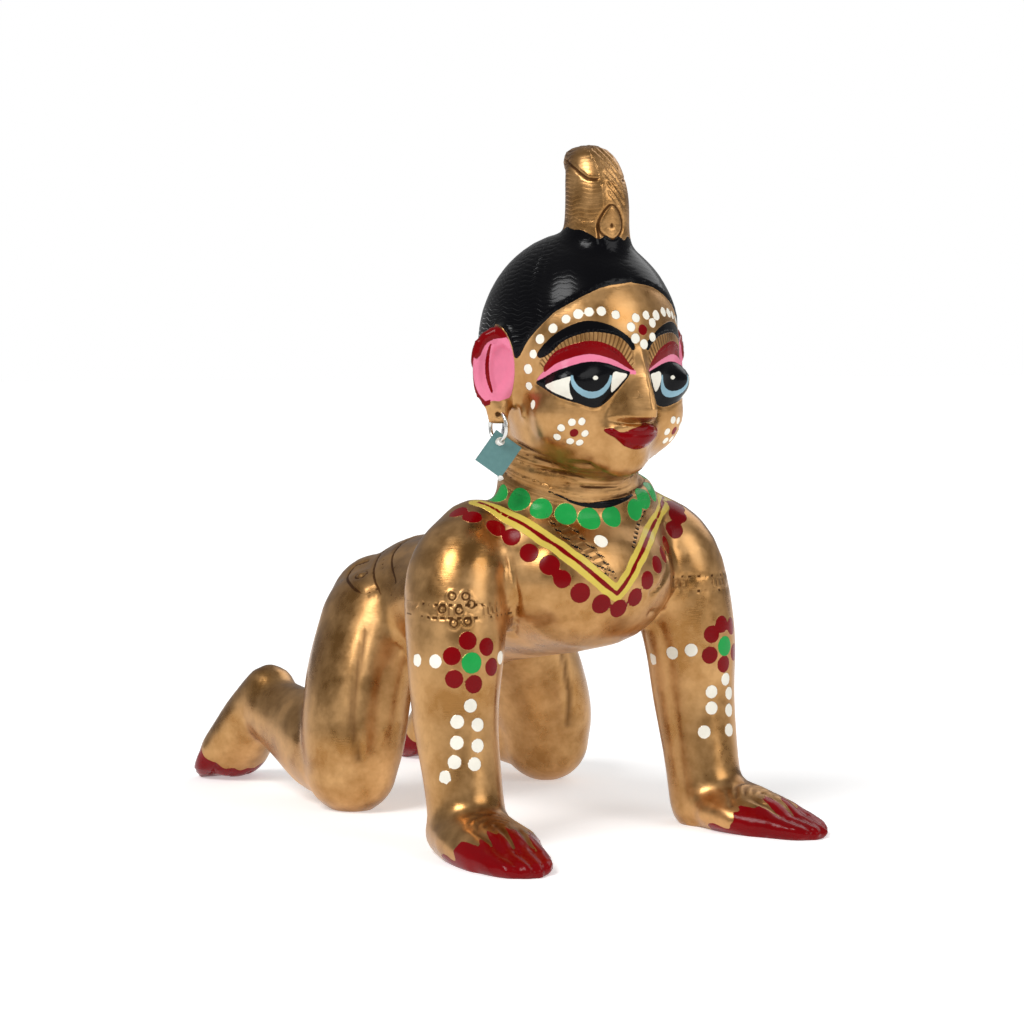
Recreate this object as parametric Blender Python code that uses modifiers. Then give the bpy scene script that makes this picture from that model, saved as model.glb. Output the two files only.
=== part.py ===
"""Small cast brass idol of Radha as a crawling child, with a wire ring and a hanging tag at the right ear.

The child is on its hands and knees, faces -Y and has its left hand at +X. It is one casting, built as one
closed solid: every limb, the trunk, the head, the ears and the crest are lofted or stretched forms that are
fused, softened where they meet, and cut flat where the palms, knees and toes stand on the floor.

The figure is a free form, so its stations are written in hundredths of its height. The ring and the tag
have sizes of their own and are placed from the hole in the ear lobe.
"""

import math

import bmesh
import bpy
from mathutils import Matrix, Vector

MM = 0.001

# Driving dimensions of the casting
FIGURE_HEIGHT = 100.0 * MM
SHARE = FIGURE_HEIGHT / 100.0
CLAY_GRAIN = 0.75 * SHARE
SOFTENING_PASSES = 3
FIGURE_TRIANGLES = 9100

# Driving dimensions of the ear ring and its tag
RING_WIRE = 0.6 * MM
RING_RADIUS = 2.1 * MM
TAG_WIDTH = 4.4 * MM
TAG_HEIGHT = 5.2 * MM
TAG_THICKNESS = 0.6 * MM
TAG_HOLE_INSET = 1.2 * MM
TAG_TURN = math.radians(25.0)
CLEARANCE = 0.3 * MM

# Loft settings
RING_SIDES = 20
RINGS_PER_SPAN = 4
DOME_RINGS = 3
DOME_ANGLE = math.radians(80.0)
RIGHT_WAY = Vector((1.0, 0.0, 0.0))

# Surface colours, roughness and metallic value
BRASS = (0.62, 0.41, 0.19, 1.0), 0.28, 1.0
SILVER = (0.80, 0.80, 0.78, 1.0), 0.25, 1.0
TEAL = (0.08, 0.19, 0.19, 1.0), 0.5, 0.0

# Where the middle of the figure's footprint lies in the stations' own axes
FOOTPRINT_MIDDLE = (0.8, 3.9)

# Trunk stations: centre y, centre z, half width, half height
TRUNK = (
    (22.5, 29.0, 10.5, 8.5),
    (16.0, 30.0, 15.5, 12.0),
    (4.0, 32.3, 14.8, 10.3),
    (-8.0, 34.6, 15.2, 10.3),
    (-18.0, 37.2, 17.0, 11.2),
    (-23.5, 37.6, 15.0, 10.6),
)
SEAT = (8.2, 20.0, 29.0), (8.6, 8.8, 9.8)
BREAST = (0.0, -22.0, 41.0), (16.0, 9.0, 9.6)
YOKE = (0.6, -18.4, 42.6), (20.5, 8.0, 8.4)

# Limb stations on the left: centre x, y, z, half width, half depth
ARM = (
    (14.0, -17.0, 43.0, 6.3, 6.8),
    (18.4, -19.3, 38.3, 7.4, 8.1),
    (20.6, -22.0, 28.5, 7.0, 7.2),
    (21.2, -22.9, 19.0, 6.1, 6.4),
    (21.2, -24.8, 10.0, 5.6, 5.7),
    (21.2, -26.2, 3.5, 5.6, 5.6),
)
WRIST = (21.2, -26.2, 0.0)
PALM = (
    (21.9, -25.4, 3.0, 5.4, 4.4),
    (22.0, -31.5, 2.4, 6.4, 4.4),
    (22.0, -38.4, 1.4, 6.2, 3.6),
)
THIGH = (
    (11.0, 16.5, 29.0, 8.2, 10.5),
    (15.0, 15.0, 20.0, 8.0, 9.8),
    (17.0, 13.6, 11.0, 7.8, 9.0),
    (17.5, 13.5, 6.1, 7.0, 7.8),
)
SHIN = (
    (17.5, 15.0, 6.4, 6.4, 6.0),
    (17.8, 23.0, 8.9, 6.0, 7.6),
    (18.0, 31.0, 10.9, 5.2, 6.5),
    (18.4, 38.5, 13.0, 4.8, 5.4),
)
FOOT = (
    (18.4, 38.5, 15.6, 4.4, 4.4),
    (18.9, 43.5, 10.5, 5.3, 4.9),
    (19.6, 49.0, 4.4, 6.2, 4.4),
)

# Fingers and toes: the middle of the row of roots, how far apart the roots are, the reach and the radius
FINGER_ROOT = (22.0, -39.0, 1.6)
FINGER_SPREAD = 2.85
FINGER_REACH = 7.6
FINGER_RADIUS = 1.7
FINGER_WAY = (0.0, -1.0, -0.1)
FINGER_LENGTHS = (0.84, 1.0, 0.98, 0.8)
THUMB = (
    (16.8, -30.0, 2.8, 1.9, 2.4),
    (16.3, -34.5, 2.2, 1.8, 2.0),
    (16.9, -38.5, 1.5, 1.3, 1.4),
)
TOE_ROOT = (19.6, 50.0, 3.0)
TOE_SPREAD = 2.5
TOE_REACH = 5.4
TOE_RADIUS = 1.6
TOE_WAY = (0.1, 0.82, -0.56)
TOE_LENGTHS = (1.0, 1.0, 0.94, 0.86, 0.76)
DIGIT_CLOSING = 0.66
DIGIT_THINNING = 0.72

NECK = (
    (1.5, -16.5, 42.0, 16.5, 10.0),
    (1.5, -19.0, 46.5, 14.2, 10.8),
    (0.0, -20.0, 51.0, 10.8, 9.6),
    (0.0, -21.0, 57.0, 10.4, 10.2),
)
CREST = (
    (0.0, -26.6, 83.0, 6.6, 7.0),
    (0.0, -27.2, 87.0, 4.6, 4.8),
    (0.0, -27.4, 92.3, 4.3, 4.4),
    (0.0, -26.0, 96.6, 3.9, 3.5),
    (0.0, -23.4, 97.9, 2.7, 2.2),
)
NOSE = (
    (0.0, -37.0, 70.0, 1.0, 1.1),
    (0.0, -38.7, 67.0, 1.1, 1.3),
    (0.0, -39.7, 63.9, 1.6, 1.6),
)

# Stretched balls of the head: centre x, y, z, then radii
SKULL = (0.0, -24.2, 71.0), (13.8, 14.0, 16.3)
HAIR = (0.0, -22.7, 71.4), (14.4, 14.2, 16.3)
JAW = (0.0, -25.4, 60.6), (11.6, 11.2, 9.2)
CHIN = (0.0, -32.8, 56.0), (4.8, 3.8, 3.5)
CHEEK = (6.4, -30.0, 62.0), (6.0, 5.6, 6.4)
EYE = (6.8, -33.3, 66.4), (5.0, 3.2, 3.4)
NOSTRIL = (1.8, -38.4, 62.2), (1.5, 1.6, 1.2)
UPPER_LIP = (0.0, -35.5, 59.6), (4.6, 3.0, 1.2)
LOWER_LIP = (0.0, -35.2, 58.0), (3.4, 3.0, 1.3)

# Ears: the centre, half sizes across the face of the ear, the turn out from the head, the rim with its
# inset, its lift in ear thicknesses and its angles, and the lobe
EAR_CENTRE = (15.5, -24.2, 68.0)
EAR_RADII = (2.9, 1.3, 5.5)
EAR_TURN = 38.0
EAR_RIM = 0.85
EAR_RIM_INSET = 0.3
EAR_RIM_LIFT = 0.6
EAR_RIM_ANGLES = (-75.0, 140.0)
EAR_RIM_STEPS = 8
LOBE = (-0.6, 0.2, -6.0), (2.0, 1.2, 2.2)

# How the left side differs: a higher shoulder, a knee further out and back, and a hand turned further out
LEFT_SHOULDER_SHIFT = Vector((0.4, -0.4, 1.0))
SHOULDER_SHARES = (1.0, 1.0, 0.3, 0.0, 0.0, 0.0)
LEFT_KNEE_SHIFT = Vector((6.0, 7.0, 0.4))
THIGH_SHARES = (0.3, 0.8, 1.0, 1.0)
SHIN_SHARES = (1.0, 0.6, 0.2, 0.0)
LEFT_HAND_TURN = 13.0
RIGHT_HAND_TURN = 5.0


def catmull(before, start, end, after, share):
    """Returns the point at a share of the way from start to end on the smooth curve through four stations."""
    squared = share * share
    cubed = squared * share
    return 0.5 * (
        2.0 * start
        + (end - before) * share
        + (2.0 * before - 5.0 * start + 4.0 * end - after) * squared
        + (3.0 * start - 3.0 * end + after - before) * cubed
    )


def smooth_stations(stations):
    """Fills in stations between the given ones, on a smooth curve through them."""
    rows = [Vector(station) for station in stations]
    rows = [2.0 * rows[0] - rows[1], *rows, 2.0 * rows[-1] - rows[-2]]
    filled = []
    for index in range(1, len(rows) - 2):
        for step in range(RINGS_PER_SPAN):
            share = step / RINGS_PER_SPAN
            filled.append(catmull(*rows[index - 1 : index + 3], share))
    filled.append(rows[-2])
    return filled


def dome(row, neighbour):
    """Returns the shrinking sections that round off a limb beyond its end section."""
    way = (Vector(row[:3]) - Vector(neighbour[:3])).normalized()
    reach = min(row[3], row[4])
    made = []
    for step in range(1, DOME_RINGS + 1):
        angle = DOME_ANGLE * step / DOME_RINGS
        centre = Vector(row[:3]) + way * reach * math.sin(angle)
        made.append(Vector((*centre, row[3] * math.cos(angle), row[4] * math.cos(angle))))
    return made


def section_matrix(row, along, across):
    """Returns the matrix that turns a unit circle into the elliptical section of a limb."""
    along = along.normalized()
    depth = along.cross(across).normalized()
    width = depth.cross(along)
    turn = Matrix((width, depth, along)).transposed().to_4x4()
    return Matrix.Translation(Vector(row[:3])) @ turn @ Matrix.Diagonal((row[3], row[4], 1.0, 1.0))


def loft(clay, stations, placing=Matrix.Identity(4), across=RIGHT_WAY):
    """Adds a closed limb through stations of centre, half width and half depth, moved by the placing."""
    rows = smooth_stations(stations)
    rows = [*reversed(dome(rows[0], rows[1])), *rows, *dome(rows[-1], rows[-2])]
    rings = []
    for index, row in enumerate(rows):
        ahead = Vector(rows[min(index + 1, len(rows) - 1)][:3])
        behind = Vector(rows[max(index - 1, 0)][:3])
        matrix = placing @ section_matrix(row, ahead - behind, across)
        made = bmesh.ops.create_circle(clay, segments=RING_SIDES, radius=1.0, matrix=matrix)
        rings.append({edge for vert in made["verts"] for edge in vert.link_edges})
    for near, far in zip(rings, rings[1:]):
        bmesh.ops.bridge_loops(clay, edges=list(near | far))
    for ring in (rings[0], rings[-1]):
        bmesh.ops.contextual_create(clay, geom=list({vert for edge in ring for vert in edge.verts}))


def ball(clay, form, placing=Matrix.Identity(4)):
    """Adds a stretched ball of a given centre and radii, moved by the placing."""
    centre, radii = form
    matrix = placing @ Matrix.Translation(Vector(centre)) @ Matrix.Diagonal((*radii, 1.0))
    bmesh.ops.create_uvsphere(clay, u_segments=28, v_segments=18, radius=1.0, matrix=matrix)


def side_matrix(side):
    """Returns the matrix that keeps a left-hand form, or mirrors it to the right."""
    return Matrix.Diagonal((side, 1.0, 1.0, 1.0))


def turned_about(point, degrees):
    """Returns the matrix of a turn about the vertical through a point."""
    centre = Matrix.Translation(Vector(point))
    return centre @ Matrix.Rotation(math.radians(degrees), 4, "Z") @ centre.inverted()


def shifted(stations, shift, shares):
    """Moves each station's centre by its own share of a shift."""
    moved = []
    for station, share in zip(stations, shares):
        centre = Vector(station[:3]) + shift * share
        moved.append((*centre, *station[3:]))
    return moved


def add_trunk(clay):
    """Adds the back, belly and seat."""
    loft(clay, [(0.0, *station) for station in TRUNK])
    for form in (BREAST, YOKE):
        ball(clay, form)
    for side in (1.0, -1.0):
        ball(clay, SEAT, side_matrix(side))


def add_digits(clay, root, spread, reach, radius, lengths, placing):
    """Adds a row of fingers or toes that close in towards their tips."""
    thin = radius * DIGIT_THINNING
    for index, length in enumerate(lengths):
        offset = index - len(lengths[1:]) / 2.0
        start = Vector(root) + RIGHT_WAY * spread * offset
        end = Vector(root) + RIGHT_WAY * spread * DIGIT_CLOSING * offset + Vector(reach) * length
        middle = start.lerp(end, 0.5)
        stations = ((*start, radius, radius), (*middle, radius, radius), (*end, thin, thin))
        loft(clay, stations, placing)


def add_arm(clay, side):
    """Adds an arm with its hand flat on the floor and its fingers forward."""
    shift = LEFT_SHOULDER_SHIFT if side > 0.0 else Vector()
    loft(clay, shifted(ARM, shift, SHOULDER_SHARES), side_matrix(side))
    turn = LEFT_HAND_TURN if side > 0.0 else RIGHT_HAND_TURN
    placing = side_matrix(side) @ turned_about(WRIST, turn)
    loft(clay, PALM, placing)
    loft(clay, THUMB, placing)
    reach = Vector(FINGER_WAY) * FINGER_REACH
    add_digits(clay, FINGER_ROOT, FINGER_SPREAD, reach, FINGER_RADIUS, FINGER_LENGTHS, placing)


def add_leg(clay, side):
    """Adds a leg that kneels, with its heel raised and its toes on the floor."""
    placing = side_matrix(side)
    shift = LEFT_KNEE_SHIFT if side > 0.0 else Vector()
    loft(clay, shifted(THIGH, shift, THIGH_SHARES), placing)
    loft(clay, shifted(SHIN, shift, SHIN_SHARES), placing)
    loft(clay, FOOT, placing)
    reach = Vector(TOE_WAY) * TOE_REACH
    add_digits(clay, TOE_ROOT, TOE_SPREAD, reach, TOE_RADIUS, TOE_LENGTHS, placing)


def ear_matrix(side):
    """Returns the matrix of an ear, whose face looks along its own -Y."""
    turn = Matrix.Rotation(math.radians(EAR_TURN), 4, "Z")
    return side_matrix(side) @ Matrix.Translation(Vector(EAR_CENTRE)) @ turn


def add_ear(clay, side):
    """Adds an ear: a thin disc with a raised rim round its outer edge, and a lobe below it."""
    placing = ear_matrix(side)
    ball(clay, ((0.0, 0.0, 0.0), EAR_RADII), placing)
    ball(clay, LOBE, placing)
    width, thickness, height = EAR_RADII
    first, last = EAR_RIM_ANGLES
    rim = []
    for step in range(EAR_RIM_STEPS + 1):
        angle = math.radians(first + (last - first) * step / EAR_RIM_STEPS)
        across = (width - EAR_RIM_INSET) * math.cos(angle)
        up = (height - EAR_RIM_INSET) * math.sin(angle)
        rim.append((across, -EAR_RIM_LIFT * thickness, up, EAR_RIM, EAR_RIM))
    loft(clay, rim, placing, Vector((0.0, 1.0, 0.0)))


def add_head(clay):
    """Adds the neck, the skull with its hair, the face and the ears."""
    loft(clay, NECK)
    for form in (SKULL, HAIR, JAW, CHIN, UPPER_LIP, LOWER_LIP):
        ball(clay, form)
    loft(clay, NOSE)
    for side in (1.0, -1.0):
        for form in (CHEEK, EYE, NOSTRIL):
            ball(clay, form, side_matrix(side))
        add_ear(clay, side)


def add_crest(clay):
    """Adds the tied crest of hair, which leans back to a curled tip."""
    loft(clay, CREST)


def new_material(name, look):
    """Makes a material of a colour, roughness and metallic value."""
    colour, roughness, metallic = look
    made = bpy.data.materials.new(name)
    made.use_nodes = True
    shader = made.node_tree.nodes["Principled BSDF"]
    shader.inputs["Base Color"].default_value = colour
    shader.inputs["Roughness"].default_value = roughness
    shader.inputs["Metallic"].default_value = metallic
    return made


def keep(made, name, collection, material=None):
    """Names an object and its mesh, moves it to a collection and gives it its material."""
    made.name = name
    made.data.name = name
    for held in list(made.users_collection):
        held.objects.unlink(made)
    collection.objects.link(made)
    if material is not None:
        made.data.materials.append(material)
    return made


def in_row_axes(point):
    """Returns a point of the stations in metres, measured from the middle of the footprint."""
    middle = Vector((*FOOTPRINT_MIDDLE, 0.0))
    return (Vector(point) - middle) * SHARE


def clay_object(clay, name, collection, material):
    """Writes the clay to an object in metres, over the middle of the footprint."""
    bmesh.ops.recalc_face_normals(clay, faces=clay.faces)
    for vert in clay.verts:
        vert.co = in_row_axes(vert.co)
    mesh = bpy.data.meshes.new(name)
    clay.to_mesh(mesh)
    clay.free()
    return keep(bpy.data.objects.new(name, mesh), name, collection, material)


def cut(target, name, cutter):
    """Adds a Boolean that takes the cutter out of the target."""
    boolean = target.modifiers.new(name, "BOOLEAN")
    boolean.operation = "DIFFERENCE"
    boolean.object = cutter


def thin_out(figure):
    """Adds a Decimate that leaves the figure about as many triangles as it may have."""
    fused = figure.evaluated_get(bpy.context.evaluated_depsgraph_get()).data
    fused.calc_loop_triangles()
    thinning = figure.modifiers.new("thin out", "DECIMATE")
    thinning.ratio = min(1.0, FIGURE_TRIANGLES / len(fused.loop_triangles))


def build_figure(collection, cutters, ring_path):
    """Fuses the clay into one softened solid, cuts its soles flat and drills the right ear lobe."""
    clay = bmesh.new()
    add_trunk(clay)
    for side in (1.0, -1.0):
        add_arm(clay, side)
        add_leg(clay, side)
    add_head(clay)
    add_crest(clay)
    figure = clay_object(clay, "radha_figure", collection, new_material("polished brass", BRASS))
    fuse = figure.modifiers.new("fuse", "REMESH")
    fuse.mode = "VOXEL"
    fuse.voxel_size = CLAY_GRAIN
    soften = figure.modifiers.new("soften", "SMOOTH")
    soften.factor = 0.5
    soften.iterations = SOFTENING_PASSES
    thin_out(figure)
    half_block = FIGURE_HEIGHT
    bpy.ops.mesh.primitive_cube_add(size=2.0 * half_block, location=(0.0, 0.0, -half_block))
    cut(figure, "flat soles", keep(bpy.context.object, "floor_block", cutters))
    cut(figure, "lobe hole", ring_path)
    return figure


def hole_centre():
    """Returns the middle of the hole in the right ear lobe, in metres."""
    return in_row_axes(ear_matrix(-1.0) @ Vector(LOBE[0]))


def ring_object(name, collection, thickness, material=None):
    """Makes a ring of a given wire thickness that hangs in the Y-Z plane from the hole in the lobe."""
    bpy.ops.mesh.primitive_torus_add(
        major_radius=RING_RADIUS,
        minor_radius=thickness / 2.0,
        major_segments=28,
        minor_segments=8,
        location=hole_centre() - Vector((0.0, 0.0, RING_RADIUS)),
        rotation=(0.0, math.pi / 2.0, 0.0),
    )
    return keep(bpy.context.object, name, collection, material)


def build_tag(collection, ring_path):
    """Makes the flat tag, which hangs from a hole near its corner and has its middle right below it."""
    across = TAG_WIDTH / 2.0 - TAG_HOLE_INSET
    down = TAG_HEIGHT / 2.0 - TAG_HOLE_INSET
    hanging = Matrix.Rotation(math.atan2(across, down), 4, "Y")
    placing = (
        Matrix.Translation(hole_centre() - Vector((0.0, 0.0, 2.0 * RING_RADIUS)))
        @ Matrix.Rotation(-TAG_TURN, 4, "Z")
        @ hanging
        @ Matrix.Translation((across, 0.0, -down))
    )
    bpy.ops.mesh.primitive_cube_add(size=1.0)
    tag = keep(bpy.context.object, "ear_tag", collection, new_material("teal card", TEAL))
    tag.data.transform(Matrix.Diagonal((TAG_WIDTH, TAG_THICKNESS, TAG_HEIGHT, 1.0)))
    tag.matrix_world = placing
    cut(tag, "ring hole", ring_path)


def clear_scene():
    """Removes whatever objects the open scene holds."""
    for old in list(bpy.data.objects):
        bpy.data.objects.remove(old)


def main():
    """Builds the figure, the ring through its right ear lobe and the tag on the ring."""
    clear_scene()
    collection = bpy.data.collections.new("radha idol")
    cutters = bpy.data.collections.new("cutters")
    for made in (collection, cutters):
        bpy.context.scene.collection.children.link(made)
    cutters.hide_render = True
    ring_path = ring_object("ring_path", cutters, RING_WIRE + 2.0 * CLEARANCE)
    build_figure(collection, cutters, ring_path)
    ring_object("ear_ring", collection, RING_WIRE, new_material("silvered wire", SILVER))
    build_tag(collection, ring_path)


if __name__ == "__main__":
    main()
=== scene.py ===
"""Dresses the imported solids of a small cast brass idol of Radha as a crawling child.

The casting is fused from lofted limbs and stretched balls, as its solid is, then refined where it is carved
or painted, carved along its normals and painted by distances that its enamel reads. All the modelling is in
millimetres and in the figure's own axes, whose Y-Z plane is the middle of the child, and each finished mesh
is moved over the frame's origin in metres.
"""

from __future__ import annotations

import logging
import math
from collections.abc import Callable, Iterable, Sequence
from dataclasses import dataclass, field
from enum import Enum

import bmesh
import bpy
import numpy as np
from mathutils import Matrix, Vector
from mathutils.bvhtree import BVHTree

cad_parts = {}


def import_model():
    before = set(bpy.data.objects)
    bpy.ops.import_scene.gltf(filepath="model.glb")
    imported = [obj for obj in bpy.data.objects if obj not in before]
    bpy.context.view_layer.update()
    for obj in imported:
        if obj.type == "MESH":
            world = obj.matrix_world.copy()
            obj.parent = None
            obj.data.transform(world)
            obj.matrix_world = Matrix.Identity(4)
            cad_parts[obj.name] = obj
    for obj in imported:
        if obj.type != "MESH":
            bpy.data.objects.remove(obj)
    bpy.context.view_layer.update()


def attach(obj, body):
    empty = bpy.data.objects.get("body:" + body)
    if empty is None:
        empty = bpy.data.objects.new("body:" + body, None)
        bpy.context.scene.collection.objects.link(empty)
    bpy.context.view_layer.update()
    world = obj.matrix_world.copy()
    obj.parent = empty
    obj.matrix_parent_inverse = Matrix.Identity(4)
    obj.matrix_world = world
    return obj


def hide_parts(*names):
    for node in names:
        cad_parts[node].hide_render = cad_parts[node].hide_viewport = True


LOG = logging.getLogger("radha_idol")

MM = 0.001
FOOTPRINT_MIDDLE = Vector((0.8, 3.9, 0.0))
RIGHT_WAY = Vector((1.0, 0.0, 0.0))
UPRIGHT = (0.0, 0.0, 1.0)
SIDES = (1.0, -1.0)
HEAD_AXIS = (0.0, -24.2)
NECK_TOP = 54.0
FAR = 3.0
SHORTEST = 1e-9

Array = np.ndarray
Point = tuple[float, float, float]
Points = Sequence[tuple[float, ...]]
Form = tuple[Point, Point]
Piece = bpy.types.Object
Material = bpy.types.Material
Tree = bpy.types.NodeTree
Socket = bpy.types.NodeSocket
Skin = bmesh.types.BMesh


class Enamel(Enum):
    """The paints, in the order in which they are laid on the brass."""

    PINK = "pink"
    YELLOW = "yellow"
    RED = "red"
    GREEN = "green"
    BLACK = "black"
    WHITE = "white"
    BLUE = "blue"


@dataclass(frozen=True)
class Groove:
    """An engraved line: how deep and wide it is, and whether its bottom has turned dark."""

    depth: float
    width: float
    dark: bool = True


def linear(hex_colour: str) -> tuple[float, float, float, float]:
    """Turns an sRGB hex colour to linear red, green, blue and alpha.

    Args:
        hex_colour: The colour as a number sign and six hex digits.

    Returns:
        Red, green, blue and alpha.
    """
    channels = [int(hex_colour[index : index + 2], 16) / 255.0 for index in (1, 3, 5)]
    lit = [c / 12.92 if c <= 0.04045 else ((c + 0.055) / 1.055) ** 2.4 for c in channels]
    return (*lit, 1.0)


def catmull(before: Vector, start: Vector, end: Vector, after: Vector, share: float) -> Vector:
    """Finds a point on the smooth curve through four points, between its middle two.

    Args:
        before: The point before the span.
        start: Where the span starts.
        end: Where the span ends.
        after: The point after the span.
        share: How far along the span the point lies, from 0 to 1.

    Returns:
        The point on the curve.
    """
    squared = share * share
    cubed = squared * share
    return 0.5 * (
        2.0 * start
        + (end - before) * share
        + (2.0 * before - 5.0 * start + 4.0 * end - after) * squared
        + (3.0 * start - 3.0 * end + after - before) * cubed
    )


def smooth_run(stations: Points, steps: int = 4) -> list[Vector]:
    """Fills in points between the given ones, on a smooth curve through them.

    Args:
        stations: The points that the curve passes through, of any one dimension.
        steps: How many points there are for each span between two stations.

    Returns:
        The points along the curve, its two ends included.
    """
    rows = [Vector(station) for station in stations]
    rows = [2.0 * rows[0] - rows[1], *rows, 2.0 * rows[-1] - rows[-2]]
    filled = []
    for index in range(1, len(rows) - 2):
        for step in range(steps):
            filled.append(catmull(*rows[index - 1 : index + 3], step / steps))
    filled.append(rows[-2])
    return filled


def side_matrix(side: float) -> Matrix:
    """Returns the matrix that keeps a left-hand form, or mirrors it to the right."""
    return Matrix.Diagonal((side, 1.0, 1.0, 1.0))


def turned_about(point: Sequence[float], degrees: float) -> Matrix:
    """Makes the matrix of a turn about the vertical through a point.

    Args:
        point: A point on the axis of the turn.
        degrees: How far to turn, anticlockwise from above.

    Returns:
        The matrix.
    """
    centre = Matrix.Translation(Vector(point))
    return centre @ Matrix.Rotation(math.radians(degrees), 4, "Z") @ centre.inverted()


def shifted(stations: Points, shift: Vector, shares: Sequence[float]) -> list[tuple[float, ...]]:
    """Moves each station's centre by its own share of a shift.

    Args:
        stations: The stations of a limb, each with its centre first.
        shift: How far a station with a share of 1 moves.
        shares: Each station's share.

    Returns:
        The moved stations.
    """
    moved = []
    for station, share in zip(stations, shares):
        moved.append((*(Vector(station[:3]) + shift * share), *station[3:]))
    return moved


@dataclass
class Clay:
    """Limbs and balls of clay, which are fused into one casting."""

    ring_sides: int = 24
    dome_rings: int = 4
    dome_angle: float = math.radians(80.0)
    ball_segments: tuple[int, int] = (32, 20)
    sole_reach: float = 1e-4
    mesh: Skin = field(default_factory=bmesh.new)

    def dome(self, row: Vector, neighbour: Vector) -> list[Vector]:
        """Makes the shrinking sections that round off a limb beyond its end section.

        Args:
            row: The end section.
            neighbour: The section next to it.

        Returns:
            The sections from the end section outwards.
        """
        way = (Vector(row[:3]) - Vector(neighbour[:3])).normalized()
        made = []
        for step in range(1, self.dome_rings + 1):
            angle = self.dome_angle * step / self.dome_rings
            centre = Vector(row[:3]) + way * min(row[3], row[4]) * math.sin(angle)
            made.append(Vector((*centre, row[3] * math.cos(angle), row[4] * math.cos(angle))))
        return made

    def loft(self, stations: Points, placing: Matrix | None = None, across: Vector = RIGHT_WAY) -> None:
        """Adds a closed limb.

        Args:
            stations: Centre, half width and half depth of each section.
            placing: The matrix that moves the limb.
            across: The way that the half widths are measured.
        """
        placing = placing or Matrix.Identity(4)
        rows = smooth_run(stations)
        rows = [*reversed(self.dome(rows[0], rows[1])), *rows, *self.dome(rows[-1], rows[-2])]
        rings = []
        for index, row in enumerate(rows):
            ahead = Vector(rows[min(index + 1, len(rows) - 1)][:3])
            behind = Vector(rows[max(index - 1, 0)][:3])
            along = (ahead - behind).normalized()
            depth = along.cross(across).normalized()
            turn = Matrix((depth.cross(along), depth, along)).transposed().to_4x4()
            stretch = Matrix.Diagonal((row[3], row[4], 1.0, 1.0))
            matrix = placing @ Matrix.Translation(Vector(row[:3])) @ turn @ stretch
            made = bmesh.ops.create_circle(
                self.mesh, segments=self.ring_sides, radius=1.0, matrix=matrix
            )
            rings.append({edge for vert in made["verts"] for edge in vert.link_edges})
        for near, far in zip(rings, rings[1:]):
            bmesh.ops.bridge_loops(self.mesh, edges=list(near | far))
        for ring in (rings[0], rings[-1]):
            corners = list({vert for edge in ring for vert in edge.verts})
            bmesh.ops.contextual_create(self.mesh, geom=corners)

    def ball(self, form: Form, placing: Matrix | None = None) -> None:
        """Adds a stretched ball.

        Args:
            form: The ball's centre and its three radii.
            placing: The matrix that moves the ball.
        """
        centre, radii = form
        matrix = (placing or Matrix.Identity(4)) @ Matrix.Translation(Vector(centre))
        matrix = matrix @ Matrix.Diagonal((*radii, 1.0))
        around, down = self.ball_segments
        bmesh.ops.create_uvsphere(
            self.mesh, u_segments=around, v_segments=down, radius=1.0, matrix=matrix
        )

    def fused(self, grain: float, softening: int) -> Skin:
        """Fuses the clay into one closed skin of even squares, softens it and cuts its soles flat.

        Args:
            grain: The size of the squares in millimetres.
            softening: How many smoothing passes the skin gets.

        Returns:
            The skin as a new bmesh, in millimetres.
        """
        bmesh.ops.recalc_face_normals(self.mesh, faces=self.mesh.faces)
        raw = bpy.data.meshes.new("clay")
        self.mesh.to_mesh(raw)
        self.mesh.free()
        holder = linked("clay", raw)
        fuse = holder.modifiers.new("fuse", "REMESH")
        fuse.mode = "VOXEL"
        fuse.voxel_size = grain
        soften = holder.modifiers.new("soften", "SMOOTH")
        soften.factor = 0.5
        soften.iterations = softening
        graph = bpy.context.evaluated_depsgraph_get()
        baked = bpy.data.meshes.new_from_object(holder.evaluated_get(graph))
        skin = bmesh.new()
        skin.from_mesh(baked)
        bpy.data.objects.remove(holder)
        for spent in (raw, baked):
            bpy.data.meshes.remove(spent)
        whole = [*skin.verts, *skin.edges, *skin.faces]
        cut = bmesh.ops.bisect_plane(
            skin, geom=whole, dist=self.sole_reach, plane_no=UPRIGHT, clear_inner=True
        )
        rims = [item for item in cut["geom_cut"] if isinstance(item, bmesh.types.BMEdge)]
        bmesh.ops.holes_fill(skin, edges=rims, sides=0)
        return skin


def smooth_step(value: Array, low: float, high: float) -> Array:
    """Rises smoothly from 0 to 1.

    Args:
        value: What it rises with.
        low: The value up to which it is 0.
        high: The value from which it is 1.

    Returns:
        One number for each value.
    """
    share = np.clip((value - low) / (high - low), 0.0, 1.0)
    return share * share * (3.0 - 2.0 * share)


def polygon_distance(across: Array, up: Array, corners: Points) -> Array:
    """Returns the distance to a closed outline, negative inside it.

    Args:
        across: Each vertex's first chart coordinate, in millimetres.
        up: Each vertex's second chart coordinate, in millimetres.
        corners: The outline's corners in the chart.

    Returns:
        One signed distance for each vertex.
    """
    nearest = np.full(across.shape, np.inf)
    inside = np.zeros(across.shape, dtype=bool)
    count = len(corners)
    for index in range(count):
        start, end = corners[index], corners[(index + 1) % count]
        nearest = np.minimum(nearest, segment_distance(across, up, start, end))
        rising = (start[1] > up) != (end[1] > up)
        height = end[1] - start[1]
        if height != 0.0:
            crossing = (end[0] - start[0]) * (up - start[1]) / height + start[0]
            inside ^= rising & (across < crossing)
    return np.where(inside, -nearest, nearest)


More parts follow.
